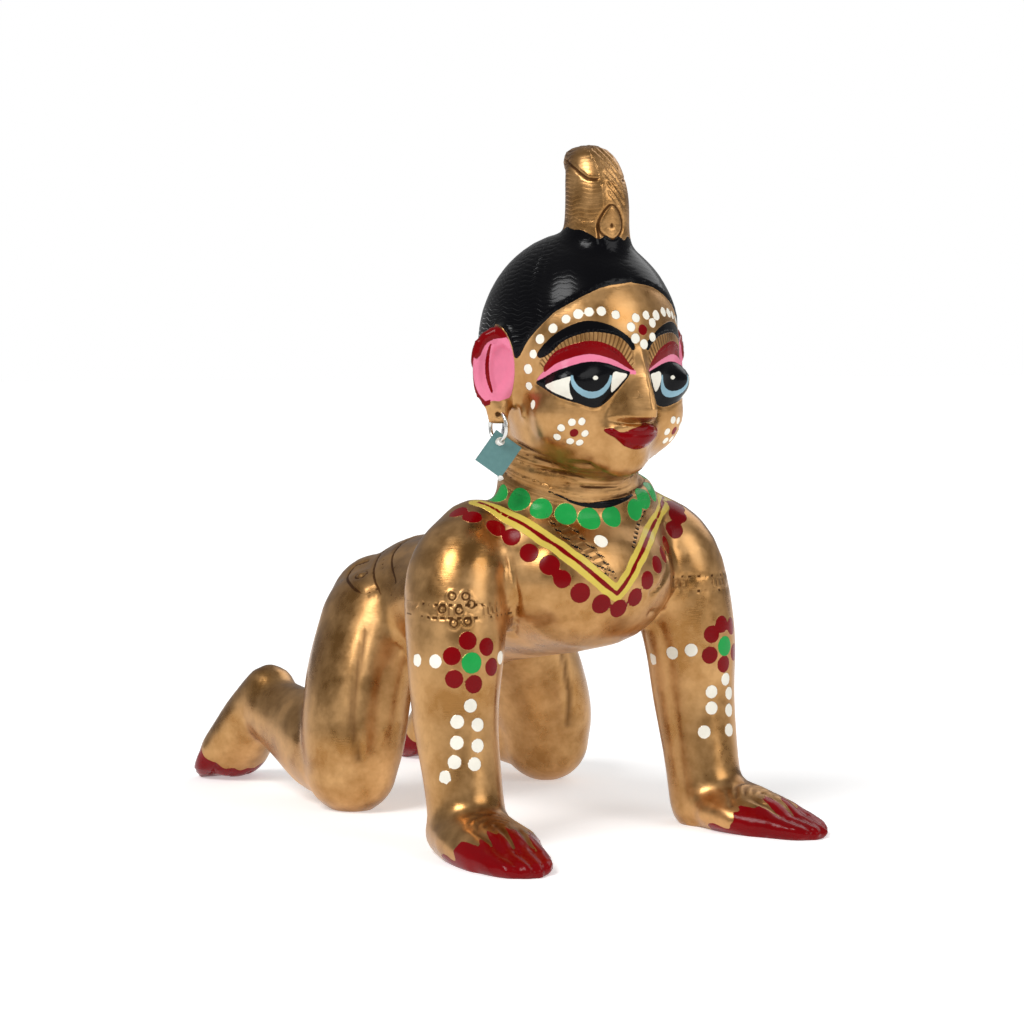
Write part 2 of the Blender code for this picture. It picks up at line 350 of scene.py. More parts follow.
def segment_distance(across: Array, up: Array, start: Sequence[float], end: Sequence[float]) -> Array:
    """Measures the distance in a chart to a straight segment.

    Args:
        across: Each vertex's first chart coordinate, in millimetres.
        up: Each vertex's second chart coordinate, in millimetres.
        start: Where the segment starts in the chart.
        end: Where it ends.

    Returns:
        One distance for each vertex.
    """
    run = (end[0] - start[0], end[1] - start[1])
    length = max(run[0] ** 2 + run[1] ** 2, SHORTEST)
    share = np.clip(((across - start[0]) * run[0] + (up - start[1]) * run[1]) / length, 0.0, 1.0)
    return np.hypot(across - start[0] - share * run[0], up - start[1] - share * run[1])


def closed_curve(points: Points, steps: int = 4) -> list[Vector]:
    """Makes a smooth closed outline through the given points.

    Args:
        points: The points that the outline passes through.
        steps: How many points there are for each span between two of them.

    Returns:
        The outline's points, without a repeat of the first.
    """
    rows = [Vector(point) for point in points]
    made = []
    for index in range(len(rows)):
        four = [rows[(index + offset) % len(rows)] for offset in (-1, 0, 1, 2)]
        made.extend(catmull(*four, step / steps) for step in range(steps))
    return made


class Surface:
    """The casting's skin while it is refined, carved and painted."""

    groove_floor = 0.1
    groove_edge = 0.6
    groove_stain = 0.32
    hatch_edge = 0.12
    sole_fade = 1.0
    sole_level = 1e-3
    ray_start = -200.0
    face_depth = -25.0
    ray_radius = 32.0

    def __init__(self, skin: Skin) -> None:
        """Keeps the skin of the fused clay, in millimetres.

        Args:
            skin: The skin, in millimetres.
        """
        self.skin = skin
        self.paints: dict[Enamel, Array] = {}
        self.read()

    def read(self) -> None:
        """Reads the vertices and their normals, and forgets the relief."""
        self.skin.normal_update()
        self.skin.verts.ensure_lookup_table()
        self.points = np.array([vert.co for vert in self.skin.verts])
        self.normals = np.array([vert.normal for vert in self.skin.verts])
        count = len(self.points)
        self.relief = np.zeros(count)
        # Old polish, and the painted dark reflection along the thigh crease
        self.patina_and_reflection = np.zeros(count)
        self.groove = np.full(count, FAR)
        self.strokes = np.zeros(count)
        self.stroke_depth = np.zeros(count)
        self.tree = BVHTree.FromBMesh(self.skin)

    def refine(self, wanted: Callable[[Array], Array], softening: int) -> None:
        """Halves the squares where the wanted function says so, and softens them.

        Args:
            wanted: Takes the vertices and returns True for those in a region to refine.
            softening: How many smoothing passes the new vertices get.
        """
        chosen = wanted(self.points)
        faces = [face for face in self.skin.faces if all(chosen[vert.index] for vert in face.verts)]
        edges = list({edge for face in faces for edge in face.edges})
        made = bmesh.ops.subdivide_edges(
            self.skin, edges=edges, smooth=1.0, smooth_falloff="LINEAR", cuts=1, use_grid_fill=True
        )
        fresh = [item for item in made["geom_inner"] if isinstance(item, bmesh.types.BMVert)]
        self.even_out([vert for vert in fresh if vert.co.z > self.sole_level], softening)
        self.read()

    def even_out(self, verts: list[bmesh.types.BMVert], passes: int) -> None:
        """Moves each of the given vertices half way to the middle of its neighbours, in passes.

        Args:
            verts: The vertices that move.
            passes: How many times they move.
        """
        for _ in range(passes):
            bmesh.ops.smooth_vert(
                self.skin, verts=verts, factor=0.5, use_axis_x=True, use_axis_y=True, use_axis_z=True
            )

    def soften(self, chosen: Array, passes: int) -> None:
        """Evens out the chosen vertices, and reads the skin again.

        Args:
            chosen: True for each vertex that may move.
            passes: How many smoothing passes it gets.
        """
        self.even_out([vert for vert, wanted in zip(self.skin.verts, chosen) if wanted], passes)
        self.read()

    def reshape(self, depth: Array) -> None:
        """Moves each vertex to a new y, and reads the skin again.

        Args:
            depth: The new y of each vertex.
        """
        for vert, place in zip(self.skin.verts, depth):
            vert.co.y = place
        self.read()

    def carve(self) -> None:
        """Moves the vertices along their normals by the relief, and reads them again."""
        share = self.relief * smooth_step(self.points[:, 2], 0.0, self.sole_fade)
        moved = self.points + self.normals * share[:, None]
        moved[:, 2] = np.maximum(moved[:, 2], 0.0)
        kept = self.patina_and_reflection, self.groove, self.strokes, self.stroke_depth
        for vert, place in zip(self.skin.verts, moved):
            vert.co = place
        self.read()
        self.patina_and_reflection, self.groove, self.strokes, self.stroke_depth = kept

    def lay(self, enamel: Enamel, distance: Array) -> None:
        """Adds a shape to what a paint covers.

        Args:
            enamel: The paint.
            distance: Each vertex's distance to the shape's edge, negative inside it.
        """
        before = self.paints.get(enamel, np.full(len(self.points), FAR))
        self.paints[enamel] = np.minimum(before, np.clip(distance, -FAR, FAR))

    def dots(self, enamel: Enamel, centres: Iterable[Vector], radii: Iterable[float]) -> None:
        """Lays round dabs of a paint, each with its own centre and radius."""
        for centre, radius in zip(centres, radii):
            self.lay(enamel, self.away(centre) - radius)

    def lay_patina_and_reflection(self, share: Array) -> None:
        """Darkens the brass, from 0 for none to 1 for dark: old polish in hollows, and a painted dark
        reflection along the thigh crease.
        """
        self.patina_and_reflection = np.maximum(self.patina_and_reflection, share)

    def away(self, centre: Vector) -> Array:
        """Returns each vertex's distance from a point."""
        return np.linalg.norm(self.points - np.array(centre), axis=1)

    def touch(self, place: Sequence[float]) -> Vector:
        """Returns the point of the skin nearest to a place."""
        return self.tree.find_nearest(Vector(place))[0]

    def on_skin(self, places: Points) -> list[Vector]:
        """Returns the points of the skin nearest to places measured over the frame's origin."""
        return [self.touch(in_axes(place)) for place in places]

    def within(self, placing: Matrix) -> Array:
        """Returns the vertices in the axes of a part that the placing moved."""
        inverse = np.array(placing.inverted())
        return self.points @ inverse[:3, :3].T + inverse[:3, 3]

    def from_front(self, across: float, up: float) -> Vector:
        """Returns the frontmost point of the skin at a given x and z."""
        hit = self.tree.ray_cast(Vector((across, self.ray_start, up)), Vector((0.0, 1.0, 0.0)))[0]
        return hit or self.touch((across, self.face_depth, up))

    def round_axis(self, azimuth: float, up: float) -> Vector:
        """Finds the outermost point of the head in a direction from its axis.

        Args:
            azimuth: The angle from the front, in degrees.
            up: The height.

        Returns:
            A point of the skin.
        """
        turn = math.radians(azimuth)
        way = Vector((math.sin(turn), -math.cos(turn), 0.0))
        start = Vector((*HEAD_AXIS, up)) + way * self.ray_radius
        return self.tree.ray_cast(start, -way)[0] or self.touch(start)

    def line(self, run: Sequence[Vector]) -> Array:
        """Measures the distance from a line through places on the skin.

        Args:
            run: The points of the line, in its order.

        Returns:
            One distance for each vertex.
        """
        nearest = np.full(len(self.points), np.inf)
        for start, end in zip(run, run[1:]):
            along = np.array(end - start)
            offset = self.points - np.array(start)
            share = np.clip(offset @ along / max(along @ along, SHORTEST), 0.0, 1.0)
            nearest = np.minimum(nearest, np.linalg.norm(offset - share[:, None] * along, axis=1))
        return nearest

    def engrave(self, distance: Array, groove: Groove) -> None:
        """Cuts a groove along a line, in which old polish may stay.

        Args:
            distance: Each vertex's distance from the groove's middle.
            groove: Its depth, its width at the surface and whether it is dark.
        """
        rise = smooth_step(distance, self.groove_floor * groove.width, self.groove_edge * groove.width)
        self.relief -= groove.depth * (1.0 - rise)
        if groove.dark:
            self.groove = np.minimum(self.groove, distance - self.groove_stain * groove.width)

    def hatch(self, distance: Array, cycles: Array, depth: float) -> None:
        """Covers a shape with fine engraved strokes, which are too fine for the mesh.

        Args:
            distance: Each vertex's distance to the shape's edge, negative inside it.
            cycles: How many strokes lie before each vertex.
            depth: How deep the strokes are, from 0 to 1.
        """
        inside = 1.0 - smooth_step(distance, -self.hatch_edge, self.hatch_edge)
        self.strokes = np.where(inside > 0.0, cycles, self.strokes)
        self.stroke_depth = np.maximum(self.stroke_depth, depth * inside)


def spaced(run: Sequence[Vector], count: int) -> list[Vector]:
    """Sets points at even distances along a line.

    Args:
        run: The points of the line.
        count: How many points are set, its two ends included.

    Returns:
        The points.
    """
    lengths = [0.0]
    for start, end in zip(run, run[1:]):
        lengths.append(lengths[-1] + (end - start).length)
    wanted = np.linspace(0.0, lengths[-1], count)
    columns = [np.interp(wanted, lengths, [point[axis] for point in run]) for axis in range(3)]
    return [Vector(place) for place in zip(*columns)]


def azimuth_chart(points: Array, axis: tuple[float, float] = HEAD_AXIS) -> Array:
    """Measures the angles from the front round an upright axis.

    Args:
        points: The vertices.
        axis: The axis's x and y.

    Returns:
        One angle in degrees for each vertex, positive to the child's left.
    """
    return np.degrees(np.arctan2(points[:, 0] - axis[0], axis[1] - points[:, 1]))


def in_axes(place: Sequence[float]) -> Vector:
    """Turns a place measured over the frame's origin to the figure's own axes, both in millimetres."""
    return Vector(place) + FOOTPRINT_MIDDLE


def on_side(places: Points, side: float) -> list[tuple[float, ...]]:
    """Keeps places measured on the child's left, or mirrors them to its right."""
    return [(side * place[0], *place[1:]) for place in places]


def mirrored(places: Points) -> list[tuple[float, ...]]:
    """Returns the places and their mirror images across the first axis."""
    return [(side * place[0], *place[1:]) for place in places for side in SIDES]


@dataclass
class Trunk:
    """The back, belly, seat and shoulders, with the engraved belt and the painted necklace."""

    spine: Points = (
        (0.0, 22.5, 29.0, 10.5, 8.5), (0.0, 16.0, 30.0, 15.5, 12.0), (0.0, 4.0, 32.3, 14.8, 10.3),
        (0.0, -8.0, 34.6, 15.2, 10.3), (0.0, -18.0, 37.2, 17.0, 11.2), (0.0, -23.5, 37.6, 15.0, 10.6),
    )
    seat: Form = ((8.2, 20.0, 29.0), (8.6, 8.8, 9.8))
    breast: Form = ((0.0, -22.0, 41.0), (16.0, 9.0, 9.6))
    yoke: Form = ((0.6, -18.4, 42.6), (20.5, 8.0, 8.4))
    band: tuple[Points, Points] = (
        (
            (-15.8, -22.6, 49.0), (-14.2, -25.3, 48.0), (-12.9, -28.3, 46.6), (-11.5, -31.2, 45.0),
            (-9.7, -33.3, 43.3), (-8.4, -35.2, 41.9), (-5.6, -37.0, 39.2), (-3.2, -37.8, 37.2),
            (-1.7, -37.8, 36.2),
        ),
        (
            (-1.7, -37.8, 36.2), (-0.3, -37.8, 37.6), (3.2, -36.5, 41.5), (8.4, -32.3, 44.9),
            (14.2, -26.9, 47.9), (16.0, -25.0, 48.8),
        ),
    )
    red_beads: Points = (
        (-19.0, -22.8, 47.6), (-18.3, -25.4, 47.0), (-15.8, -27.6, 45.5), (-14.3, -29.5, 44.3),
        (-12.8, -31.8, 42.1), (-10.9, -34.2, 40.4), (-9.7, -35.6, 38.5), (-7.3, -36.6, 36.5),
        (-4.0, -37.0, 34.8), (-1.0, -37.0, 34.0), (1.7, -37.3, 35.5), (4.0, -37.1, 37.8),
        (6.6, -36.1, 39.9), (9.2, -34.0, 41.0), (11.7, -31.3, 42.2), (14.6, -29.4, 44.2),
        (16.1, -28.4, 46.3), (16.9, -26.9, 47.5),
    )
    green_beads: Points = (
        (-11.8, -22.7, 49.7), (-10.9, -26.6, 49.2), (-9.4, -29.8, 48.0), (-6.6, -31.9, 47.3),
        (-3.4, -33.1, 46.5), (0.3, -33.5, 46.8), (4.9, -32.9, 47.7), (7.3, -31.8, 49.3),
        (9.6, -28.6, 49.6), (10.6, -24.6, 50.0),
    )
    cords: tuple[Points, ...] = (
        (
            (-9.3, -30.4, 47.8), (-8.3, -33.0, 44.7), (-7.3, -34.6, 43.3), (-6.1, -36.1, 41.8),
            (-4.6, -37.0, 40.4), (-3.3, -37.6, 39.1),
        ),
        (
            (-7.6, -32.0, 46.6), (-6.3, -33.3, 45.4), (-5.5, -35.2, 43.7), (-4.2, -36.4, 42.1),
            (-3.1, -37.3, 40.3), (-2.0, -37.8, 38.6),
        ),
        ((7.5, -32.2, 47.9), (6.2, -32.7, 46.5), (4.7, -33.5, 45.1), (2.1, -36.2, 42.5)),
    )
    collar: Points = (
        (-8.6, -30.5, 50.6), (-6.9, -31.6, 49.8), (-5.3, -32.3, 49.0), (-3.1, -32.9, 48.6),
        (-0.3, -33.3, 48.7), (3.1, -33.0, 49.3), (4.9, -32.3, 50.0),
    )
    folds: tuple[Points, ...] = (
        (
            (-15.0, -29.9, 41.6), (-14.7, -30.7, 38.3), (-14.1, -30.9, 35.4), (-13.3, -28.9, 32.3),
            (-11.6, -26.0, 29.8),
        ),
        ((10.6, -33.2, 41.2), (9.4, -34.6, 38.9), (7.3, -36.1, 36.9), (4.9, -36.7, 35.9)),
        ((14.6, -30.9, 36.8), (14.0, -30.2, 34.6), (10.6, -32.2, 32.9), (6.0, -35.2, 32.9)),
    )
    belt: Points = (
        (15.2, 3.6, 34.8), (13.4, 8.2, 37.4), (10.8, 11.2, 39.3), (6.0, 13.4, 41.0), (0.0, 14.4, 41.6),
    )
    pendant: Points = (
        (12.4, 14.6, 38.0), (14.0, 16.2, 36.9), (15.8, 14.8, 35.4), (17.2, 11.2, 34.4),
        (17.3, 8.5, 33.6), (16.4, 6.4, 33.8), (15.2, 5.6, 34.7),
    )
    pendant_boss: Point = (15.5, 11.1, 36.0)
    boss_height: float = 0.28
    boss_radii: tuple[float, float] = (0.1, 0.8)
    boss_ring: float = 1.0
    belt_half_width: float = 1.7
    belt_marks: int = 18
    white_bead: Point = (-3.1, -35.7, 43.6)
    white_radius: float = 1.05
    red_radius: float = 1.42
    green_radius: float = 1.74
    band_half_width: float = 1.2
    red_line_half_width: float = 0.31
    cord_half_width: float = 0.32
    bead_clearance: float = 0.15
    rope_front: float = -24.0
    rope_pitch: float = 1.15
    rope_depth: float = 0.65
    cord_groove: Groove = Groove(0.12, 0.4, dark=False)
    fold_groove: Groove = Groove(0.34, 1.0, dark=False)
    belt_groove: Groove = Groove(0.22, 0.6)
    belt_mark: Groove = Groove(0.12, 0.6)
    pendant_groove: Groove = Groove(0.3, 0.75)
    boss_groove: Groove = Groove(0.16, 0.5)
    bead_seed: int = 7

    def add(self, clay: Clay) -> None:
        """Adds the forms of the trunk.

        Args:
            clay: What the forms are added to.
        """
        clay.loft(self.spine)
        for form in (self.breast, self.yoke):
            clay.ball(form)
        for side in SIDES:
            clay.ball(self.seat, side_matrix(side))

    def twist(self, surface: Surface) -> Array:
        """Returns which vertices lie on a turn of a cord and not between two."""
        return np.sin((surface.points[:, 2] + 0.4 * surface.points[:, 0]) * 7.5) > -0.4

    def carve(self, surface: Surface) -> None:
        """Cuts the cords inside the necklace, the folds under the arms and the belt with its pendants.

        Args:
            surface: The casting's skin.
        """
        self.cut_cords(surface)
        for fold in self.folds:
            run = smooth_run(surface.on_skin(fold), 4)
            surface.engrave(surface.line(run), self.fold_groove)
        for side in SIDES:
            self.cut_belt(surface, side)

    def cut_cords(self, surface: Surface) -> None:
        """Cuts the twisted cords, and hatches the rope between the first two of them.

        Args:
            surface: The casting's skin.
        """
        for cord in self.cords:
            run = smooth_run(surface.on_skin(cord), 6)
            surface.engrave(np.where(self.twist(surface), surface.line(run), FAR), self.cord_groove)
        between = [(place[0] + FOOTPRINT_MIDDLE.x, place[2]) for place in self.cords[0]]
        between += [(place[0] + FOOTPRINT_MIDDLE.x, place[2]) for place in reversed(self.cords[1])]
        x, y, z = surface.points.T
        rope = np.where(y < self.rope_front, polygon_distance(x, z, between), FAR)
        surface.hatch(rope + 0.1, (z - 0.35 * x) / self.rope_pitch, self.rope_depth)

    def cut_belt(self, surface: Surface, side: float) -> None:
        """Cuts one half of the belt with its row of marks, and the pendant with its ringed boss.

        Args:
            surface: The casting's skin.
            side: 1 for the child's left half, -1 for its right.
        """
        belt = surface.on_skin(smooth_run(on_side(self.belt, side), 5))
        surface.engrave(np.abs(surface.line(belt) - self.belt_half_width), self.belt_groove)
        for point in spaced(belt, self.belt_marks):
            surface.engrave(surface.away(point), self.belt_mark)
        edge = surface.on_skin(smooth_run(on_side(self.pendant, side), 5))
        surface.engrave(surface.line(edge), self.pendant_groove)
        away = surface.away(surface.on_skin(on_side([self.pendant_boss], side))[0])
        surface.relief += self.boss_height * (1.0 - smooth_step(away, *self.boss_radii))
        surface.engrave(np.abs(away - self.boss_ring), self.boss_groove)

    def paint(self, surface: Surface) -> None:
        """Lays the yellow band with its red line, the dabs of red, green and white, and the cords.

        Args:
            surface: The casting's skin.
        """
        arms = [surface.line(surface.on_skin(smooth_run(arm, 4))) for arm in self.band]
        x, _, z = surface.points.T
        band = np.minimum(*arms) + 0.05 * np.sin(x * 1.9 + 2.0 * np.sin(z * 0.8))
        surface.lay(Enamel.YELLOW, band - self.band_half_width)
        surface.lay(Enamel.RED, band - self.red_line_half_width)
        rng = np.random.default_rng(self.bead_seed)
        for enamel, places, radius in (
            (Enamel.RED, self.red_beads, self.red_radius),
            (Enamel.GREEN, self.green_beads, self.green_radius),
        ):
            radii = radius * rng.uniform(0.92, 1.06, len(places))
            surface.dots(enamel, surface.on_skin(places), radii)
        surface.dots(Enamel.WHITE, surface.on_skin([self.white_bead]), [self.white_radius])
        collar = surface.line(surface.on_skin(smooth_run(self.collar, 4)))
        half_width = 0.12 + 0.42 * np.exp(-(((x - 0.6) / 4.0) ** 2))
        surface.lay(Enamel.BLACK, collar - half_width)
        bare = self.twist(surface) & (surface.paints[Enamel.GREEN] > self.bead_clearance)
        for cord in self.cords:
            middle = surface.line(smooth_run(surface.on_skin(cord), 6))
            surface.lay(Enamel.BLACK, np.where(bare, middle - self.cord_half_width, FAR))


@dataclass(frozen=True)
class Digits:
    """A row of fingers or toes that close in towards their tips."""

    root: Point
    spread: float
    reach: Point
    radius: float
    lengths: tuple[float, ...]
    closing: float = 0.66
    thinning: float = 0.72

    def add(self, clay: Clay, placing: Matrix) -> None:
        """Adds the digits.

        Args:
            clay: What they are added to.
            placing: The matrix that moves them.
        """
        thick, thin = self.radius, self.radius * self.thinning
        for index, length in enumerate(self.lengths):
            offset = index - (len(self.lengths) - 1) / 2.0
            start = Vector(self.root) + RIGHT_WAY * self.spread * offset
            end = Vector(self.root) + RIGHT_WAY * self.spread * self.closing * offset
            end = end + Vector(self.reach) * length
            middle = start.lerp(end, 0.5)
            clay.loft(((*start, thick, thick), (*middle, thick, thick), (*end, thin, thin)), placing)


@dataclass
class Arm:
    """An arm with its hand flat on the floor, its engraved armlet and its painted flowers."""

    side: float
    hand_turn: float
    shift: Vector
    flower: Point
    petals: Points
    pearls: Points
    limb: Points = (
        (14.0, -17.0, 43.0, 6.3, 6.8), (18.4, -19.3, 38.3, 7.4, 8.1), (20.6, -22.0, 28.5, 7.0, 7.2),
        (21.2, -22.9, 19.0, 6.1, 6.4), (21.2, -24.8, 10.0, 5.6, 5.7), (21.2, -26.2, 3.5, 5.6, 5.6),
    )
    shift_shares: tuple[float, ...] = (1.0, 1.0, 0.3, 0.0, 0.0, 0.0)
    wrist: Point = (21.2, -26.2, 0.0)
    palm: Points = (
        (21.9, -25.4, 3.0, 5.4, 4.4), (22.0, -31.5, 2.4, 6.4, 4.4), (22.0, -38.4, 1.4, 6.2, 3.6),
    )
    thumb: Points = (
        (16.8, -30.0, 2.8, 1.9, 2.4), (16.3, -34.5, 2.2, 1.8, 2.0), (16.9, -38.5, 1.5, 1.3, 1.4),
    )
    fingers: Digits = Digits((22.0, -39.0, 1.6), 2.85, (0.0, -7.6, -0.76), 1.7, (0.84, 1.0, 0.98, 0.8))
    finger_gaps: tuple[float, ...] = (-1.0, 0.0, 1.0)
    armlet: tuple[float, float] = (33.4, 35.2)
    armlet_rings: Points = ()
    armlet_axis: tuple[float, float] = (20.2, -21.0)
    armlet_radius: float = 7.2
    ringlet_radius: float = 0.52
    ringlet_height: float = 0.2
    curl_centre: tuple[float, float] = (21.6, -38.0)
    curl_radii: tuple[float, ...] = (1.5, 2.5, 3.6, 4.8, 5.9)
    heart_radius: float = 1.5
    petal_radius: float = 1.3
    pearl_radius: float = 0.98
    nail_line: float = 38.2
    armlet_groove: Groove = Groove(0.14, 0.6)
    ringlet_groove: Groove = Groove(0.25, 0.42)
    curl_groove: Groove = Groove(0.16, 0.55, dark=False)

    def placing(self) -> Matrix:
        """Returns the matrix that turns a left hand to this side."""
        return side_matrix(self.side) @ turned_about(self.wrist, self.hand_turn)

    def add(self, clay: Clay) -> None:
        """Adds the limb, the palm, the thumb and the fingers.

        Args:
            clay: What the forms are added to.
        """
        clay.loft(shifted(self.limb, self.shift, self.shift_shares), side_matrix(self.side))
        placing = self.placing()
        clay.loft(self.palm, placing)
        clay.loft(self.thumb, placing)
        self.fingers.add(clay, placing)

    def cut_armlet(self, surface: Surface) -> None:
        """Cuts the two dashed lines of the armlet with the strokes between them, and its ringed flower.

        Args:
            surface: The casting's skin.
        """
        x, y, z = surface.points.T
        axis = (self.armlet_axis[0] * self.side, self.armlet_axis[1])
        turn = azimuth_chart(surface.points, axis) * math.radians(self.armlet_radius)
        here = (x * self.side > 13.6) & (y < -8.0)
        dashes = np.sin(turn * 5.2) > -0.4
        for level in self.armlet:
            surface.engrave(np.where(here & dashes, np.abs(z - level), FAR), self.armlet_groove)
        between = np.abs(z - sum(self.armlet) / 2.0) - 0.6
        surface.hatch(np.where(here & (np.sin(turn * 0.9) > 0.1), between, FAR), turn * 1.2, 0.8)
        for place in surface.on_skin(self.armlet_rings):
            away = surface.away(place)
            surface.relief += self.ringlet_height * (1.0 - smooth_step(away, 0.7, 1.1))
            surface.engrave(np.abs(away - self.ringlet_radius), self.ringlet_groove)

    def cut_curls(self, surface: Surface, hand: Array) -> None:
        """Cuts the curled lines of the bangle over the wrist and the back of the hand.

        Args:
            surface: The casting's skin.
            hand: Its vertices in the axes of a left hand.
        """
        x, y, z = hand.T
        across, along = x - self.curl_centre[0], y - self.curl_centre[1]
        reach = np.hypot(across, along * 0.9)
        turn = np.arctan2(across, along)
        here = (z > 2.6) & (z < 11.0) & (y < -27.0)
        for index, radius in enumerate(self.curl_radii):
            arc = here & (np.abs(turn + 0.3 * math.sin(index * 2.0)) < 1.3 - 0.12 * index)
            curl = np.where(arc, np.abs(reach - radius - 0.15 * np.sin(turn * 7.0 + index)), FAR)
            surface.engrave(curl, self.curl_groove)
            shade = 0.75 + 0.25 * np.sin(turn * 5.0 + 2.0 * index)
            surface.lay_patina_and_reflection(0.7 * shade * np.exp(-((curl / 0.3) ** 2)))

    def carve(self, surface: Surface) -> None:
        """Cuts the grooves between the fingers, the curls on the wrist and the armlet.

        Args:
            surface: The casting's skin.
        """
        hand = surface.within(self.placing())
        self.cut_armlet(surface)
        self.cut_curls(surface, hand)
        x, y, z = hand.T
        low = (z < 7.5) & (y < -31.0) & (np.abs(x - 21.5) < 9.0)
        closing = 1.0 - 0.34 * np.clip((-y - 39.0) / 7.6, -0.8, 1.0)
        fade = smooth_step(-y, 34.5, 38.0)
        for offset in self.finger_gaps:
            across = x - self.fingers.root[0] - offset * self.fingers.spread * closing
            share = (1.0 - smooth_step(np.where(low, np.abs(across), FAR), 0.05, 0.75)) * fade
            surface.relief -= 0.3 * share
            surface.lay_patina_and_reflection(0.55 * share)

    def paint(self, surface: Surface) -> None:
        """Lays the flower, the pearls and the red of the finger tips.

        Args:
            surface: The casting's skin.
        """
        surface.dots(Enamel.GREEN, surface.on_skin([self.flower]), [self.heart_radius])
        surface.dots(Enamel.RED, surface.on_skin(self.petals), [self.petal_radius] * len(self.petals))
        surface.dots(Enamel.WHITE, surface.on_skin(self.pearls), [self.pearl_radius] * len(self.pearls))
        x, y, z = surface.within(self.placing()).T
        jag = 0.9 * np.sin(x * 1.7 + 0.8) + 0.5 * np.sin(x * 4.3 + 1.0)
        for offset in self.finger_gaps:
            across = x - self.fingers.root[0] - offset * self.fingers.spread
            jag = jag + 3.4 * np.exp(-((across / 0.42) ** 2))
        reach = y + self.nail_line + jag * smooth_step(z, 1.0, 3.0)
        reach = reach - 2.6 * smooth_step(np.abs(x - 22.0), 4.0, 6.5)
        rim = np.maximum(z - 1.2 - 0.25 * np.sin(y * 1.3), y + 31.0)
        reach = np.minimum(reach, rim)
        here = (z < 8.0) & (y < -28.0) & (surface.points[:, 0] * self.side > 8.0)
        surface.lay(Enamel.RED, np.where(here, reach, FAR))


@dataclass
class Leg:
    """A leg that kneels, with its heel raised and its painted toes on the floor."""

    side: float
    shift: Vector
    thigh: Points = (
        (11.0, 16.5, 29.0, 8.2, 10.5), (15.0, 15.0, 20.0, 8.0, 9.8), (17.0, 13.6, 11.0, 7.8, 9.0),
        (17.5, 13.5, 6.1, 7.0, 7.8),
    )
    shin: Points = (
        (17.5, 15.0, 6.4, 6.4, 6.0), (17.8, 23.0, 8.9, 6.0, 7.6), (18.0, 31.0, 10.9, 5.2, 6.5),
        (18.4, 38.5, 13.0, 4.8, 5.4),
    )
    foot: Points = (
        (18.4, 38.5, 15.6, 4.4, 4.4), (18.9, 43.5, 10.5, 5.3, 4.9), (19.6, 49.0, 4.4, 6.2, 4.4),
    )
    thigh_shares: tuple[float, ...] = (0.3, 0.8, 1.0, 1.0)
    shin_shares: tuple[float, ...] = (1.0, 0.6, 0.2, 0.0)
    toes: Digits = Digits(
        (19.6, 50.0, 3.0), 2.5, (0.54, 4.428, -3.024), 1.6, (1.0, 1.0, 0.94, 0.86, 0.76)
    )
    toe_gaps: tuple[float, ...] = (-1.5, -0.5, 0.5, 1.5)
    toe_groove: Groove = Groove(0.3, 0.7, dark=False)
    crease: Points = ((-18.6, 4.6, 27.9), (-20.9, 3.4, 21.0), (-21.9, 2.9, 15.6), (-21.4, 2.1, 8.8))

    def add(self, clay: Clay) -> None:
        """Adds the thigh, the shin, the foot and the toes.

        Args:
            clay: What the forms are added to.
        """
        placing = side_matrix(self.side)
        clay.loft(shifted(self.thigh, self.shift, self.thigh_shares), placing)
        clay.loft(shifted(self.shin, self.shift, self.shin_shares), placing)
        clay.loft(self.foot, placing)
        self.toes.add(clay, placing)

    def carve(self, surface: Surface) -> None:
        """Cuts the grooves between the toes and the crease down the front of the thigh, which is darkened as
        a painted dark reflection.

        Args:
            surface: The casting's skin.
        """
        x, y, z = surface.points.T
        across = x * self.side - self.toes.root[0]
        here = (y > 46.5) & (z < 6.5) & (np.abs(across) < 6.5)
        closing = 1.0 - 0.34 * np.clip((y - 50.0) / 4.4, -0.6, 1.0)
        for offset in self.toe_gaps:
            distance = np.abs(across - offset * self.toes.spread * closing)
            surface.engrave(np.where(here, distance, FAR), self.toe_groove)
        crease = surface.on_skin(on_side(self.crease, -self.side))
        share = 1.0 - smooth_step(surface.line(smooth_run(crease, 5)), 0.1, 0.9)
        surface.relief -= 0.22 * share
        # Painted reflection: the shallow crease is darkened along its length, as the dark room would show
        # mirrored in the polished thigh.
        surface.lay_patina_and_reflection(0.6 * share)

    def paint(self, surface: Surface) -> None:
        """Lays the red of the toes.

        Args:
            surface: The casting's skin.
        """
        x, y, z = surface.points.T
        jag = 0.4 * np.sin(x * 2.4)
        here = (x * self.side > 5.0) & (y > 38.0)
        surface.lay(Enamel.RED, np.where(here, (43.4 + 1.05 * z + jag - y) / 1.45, FAR))


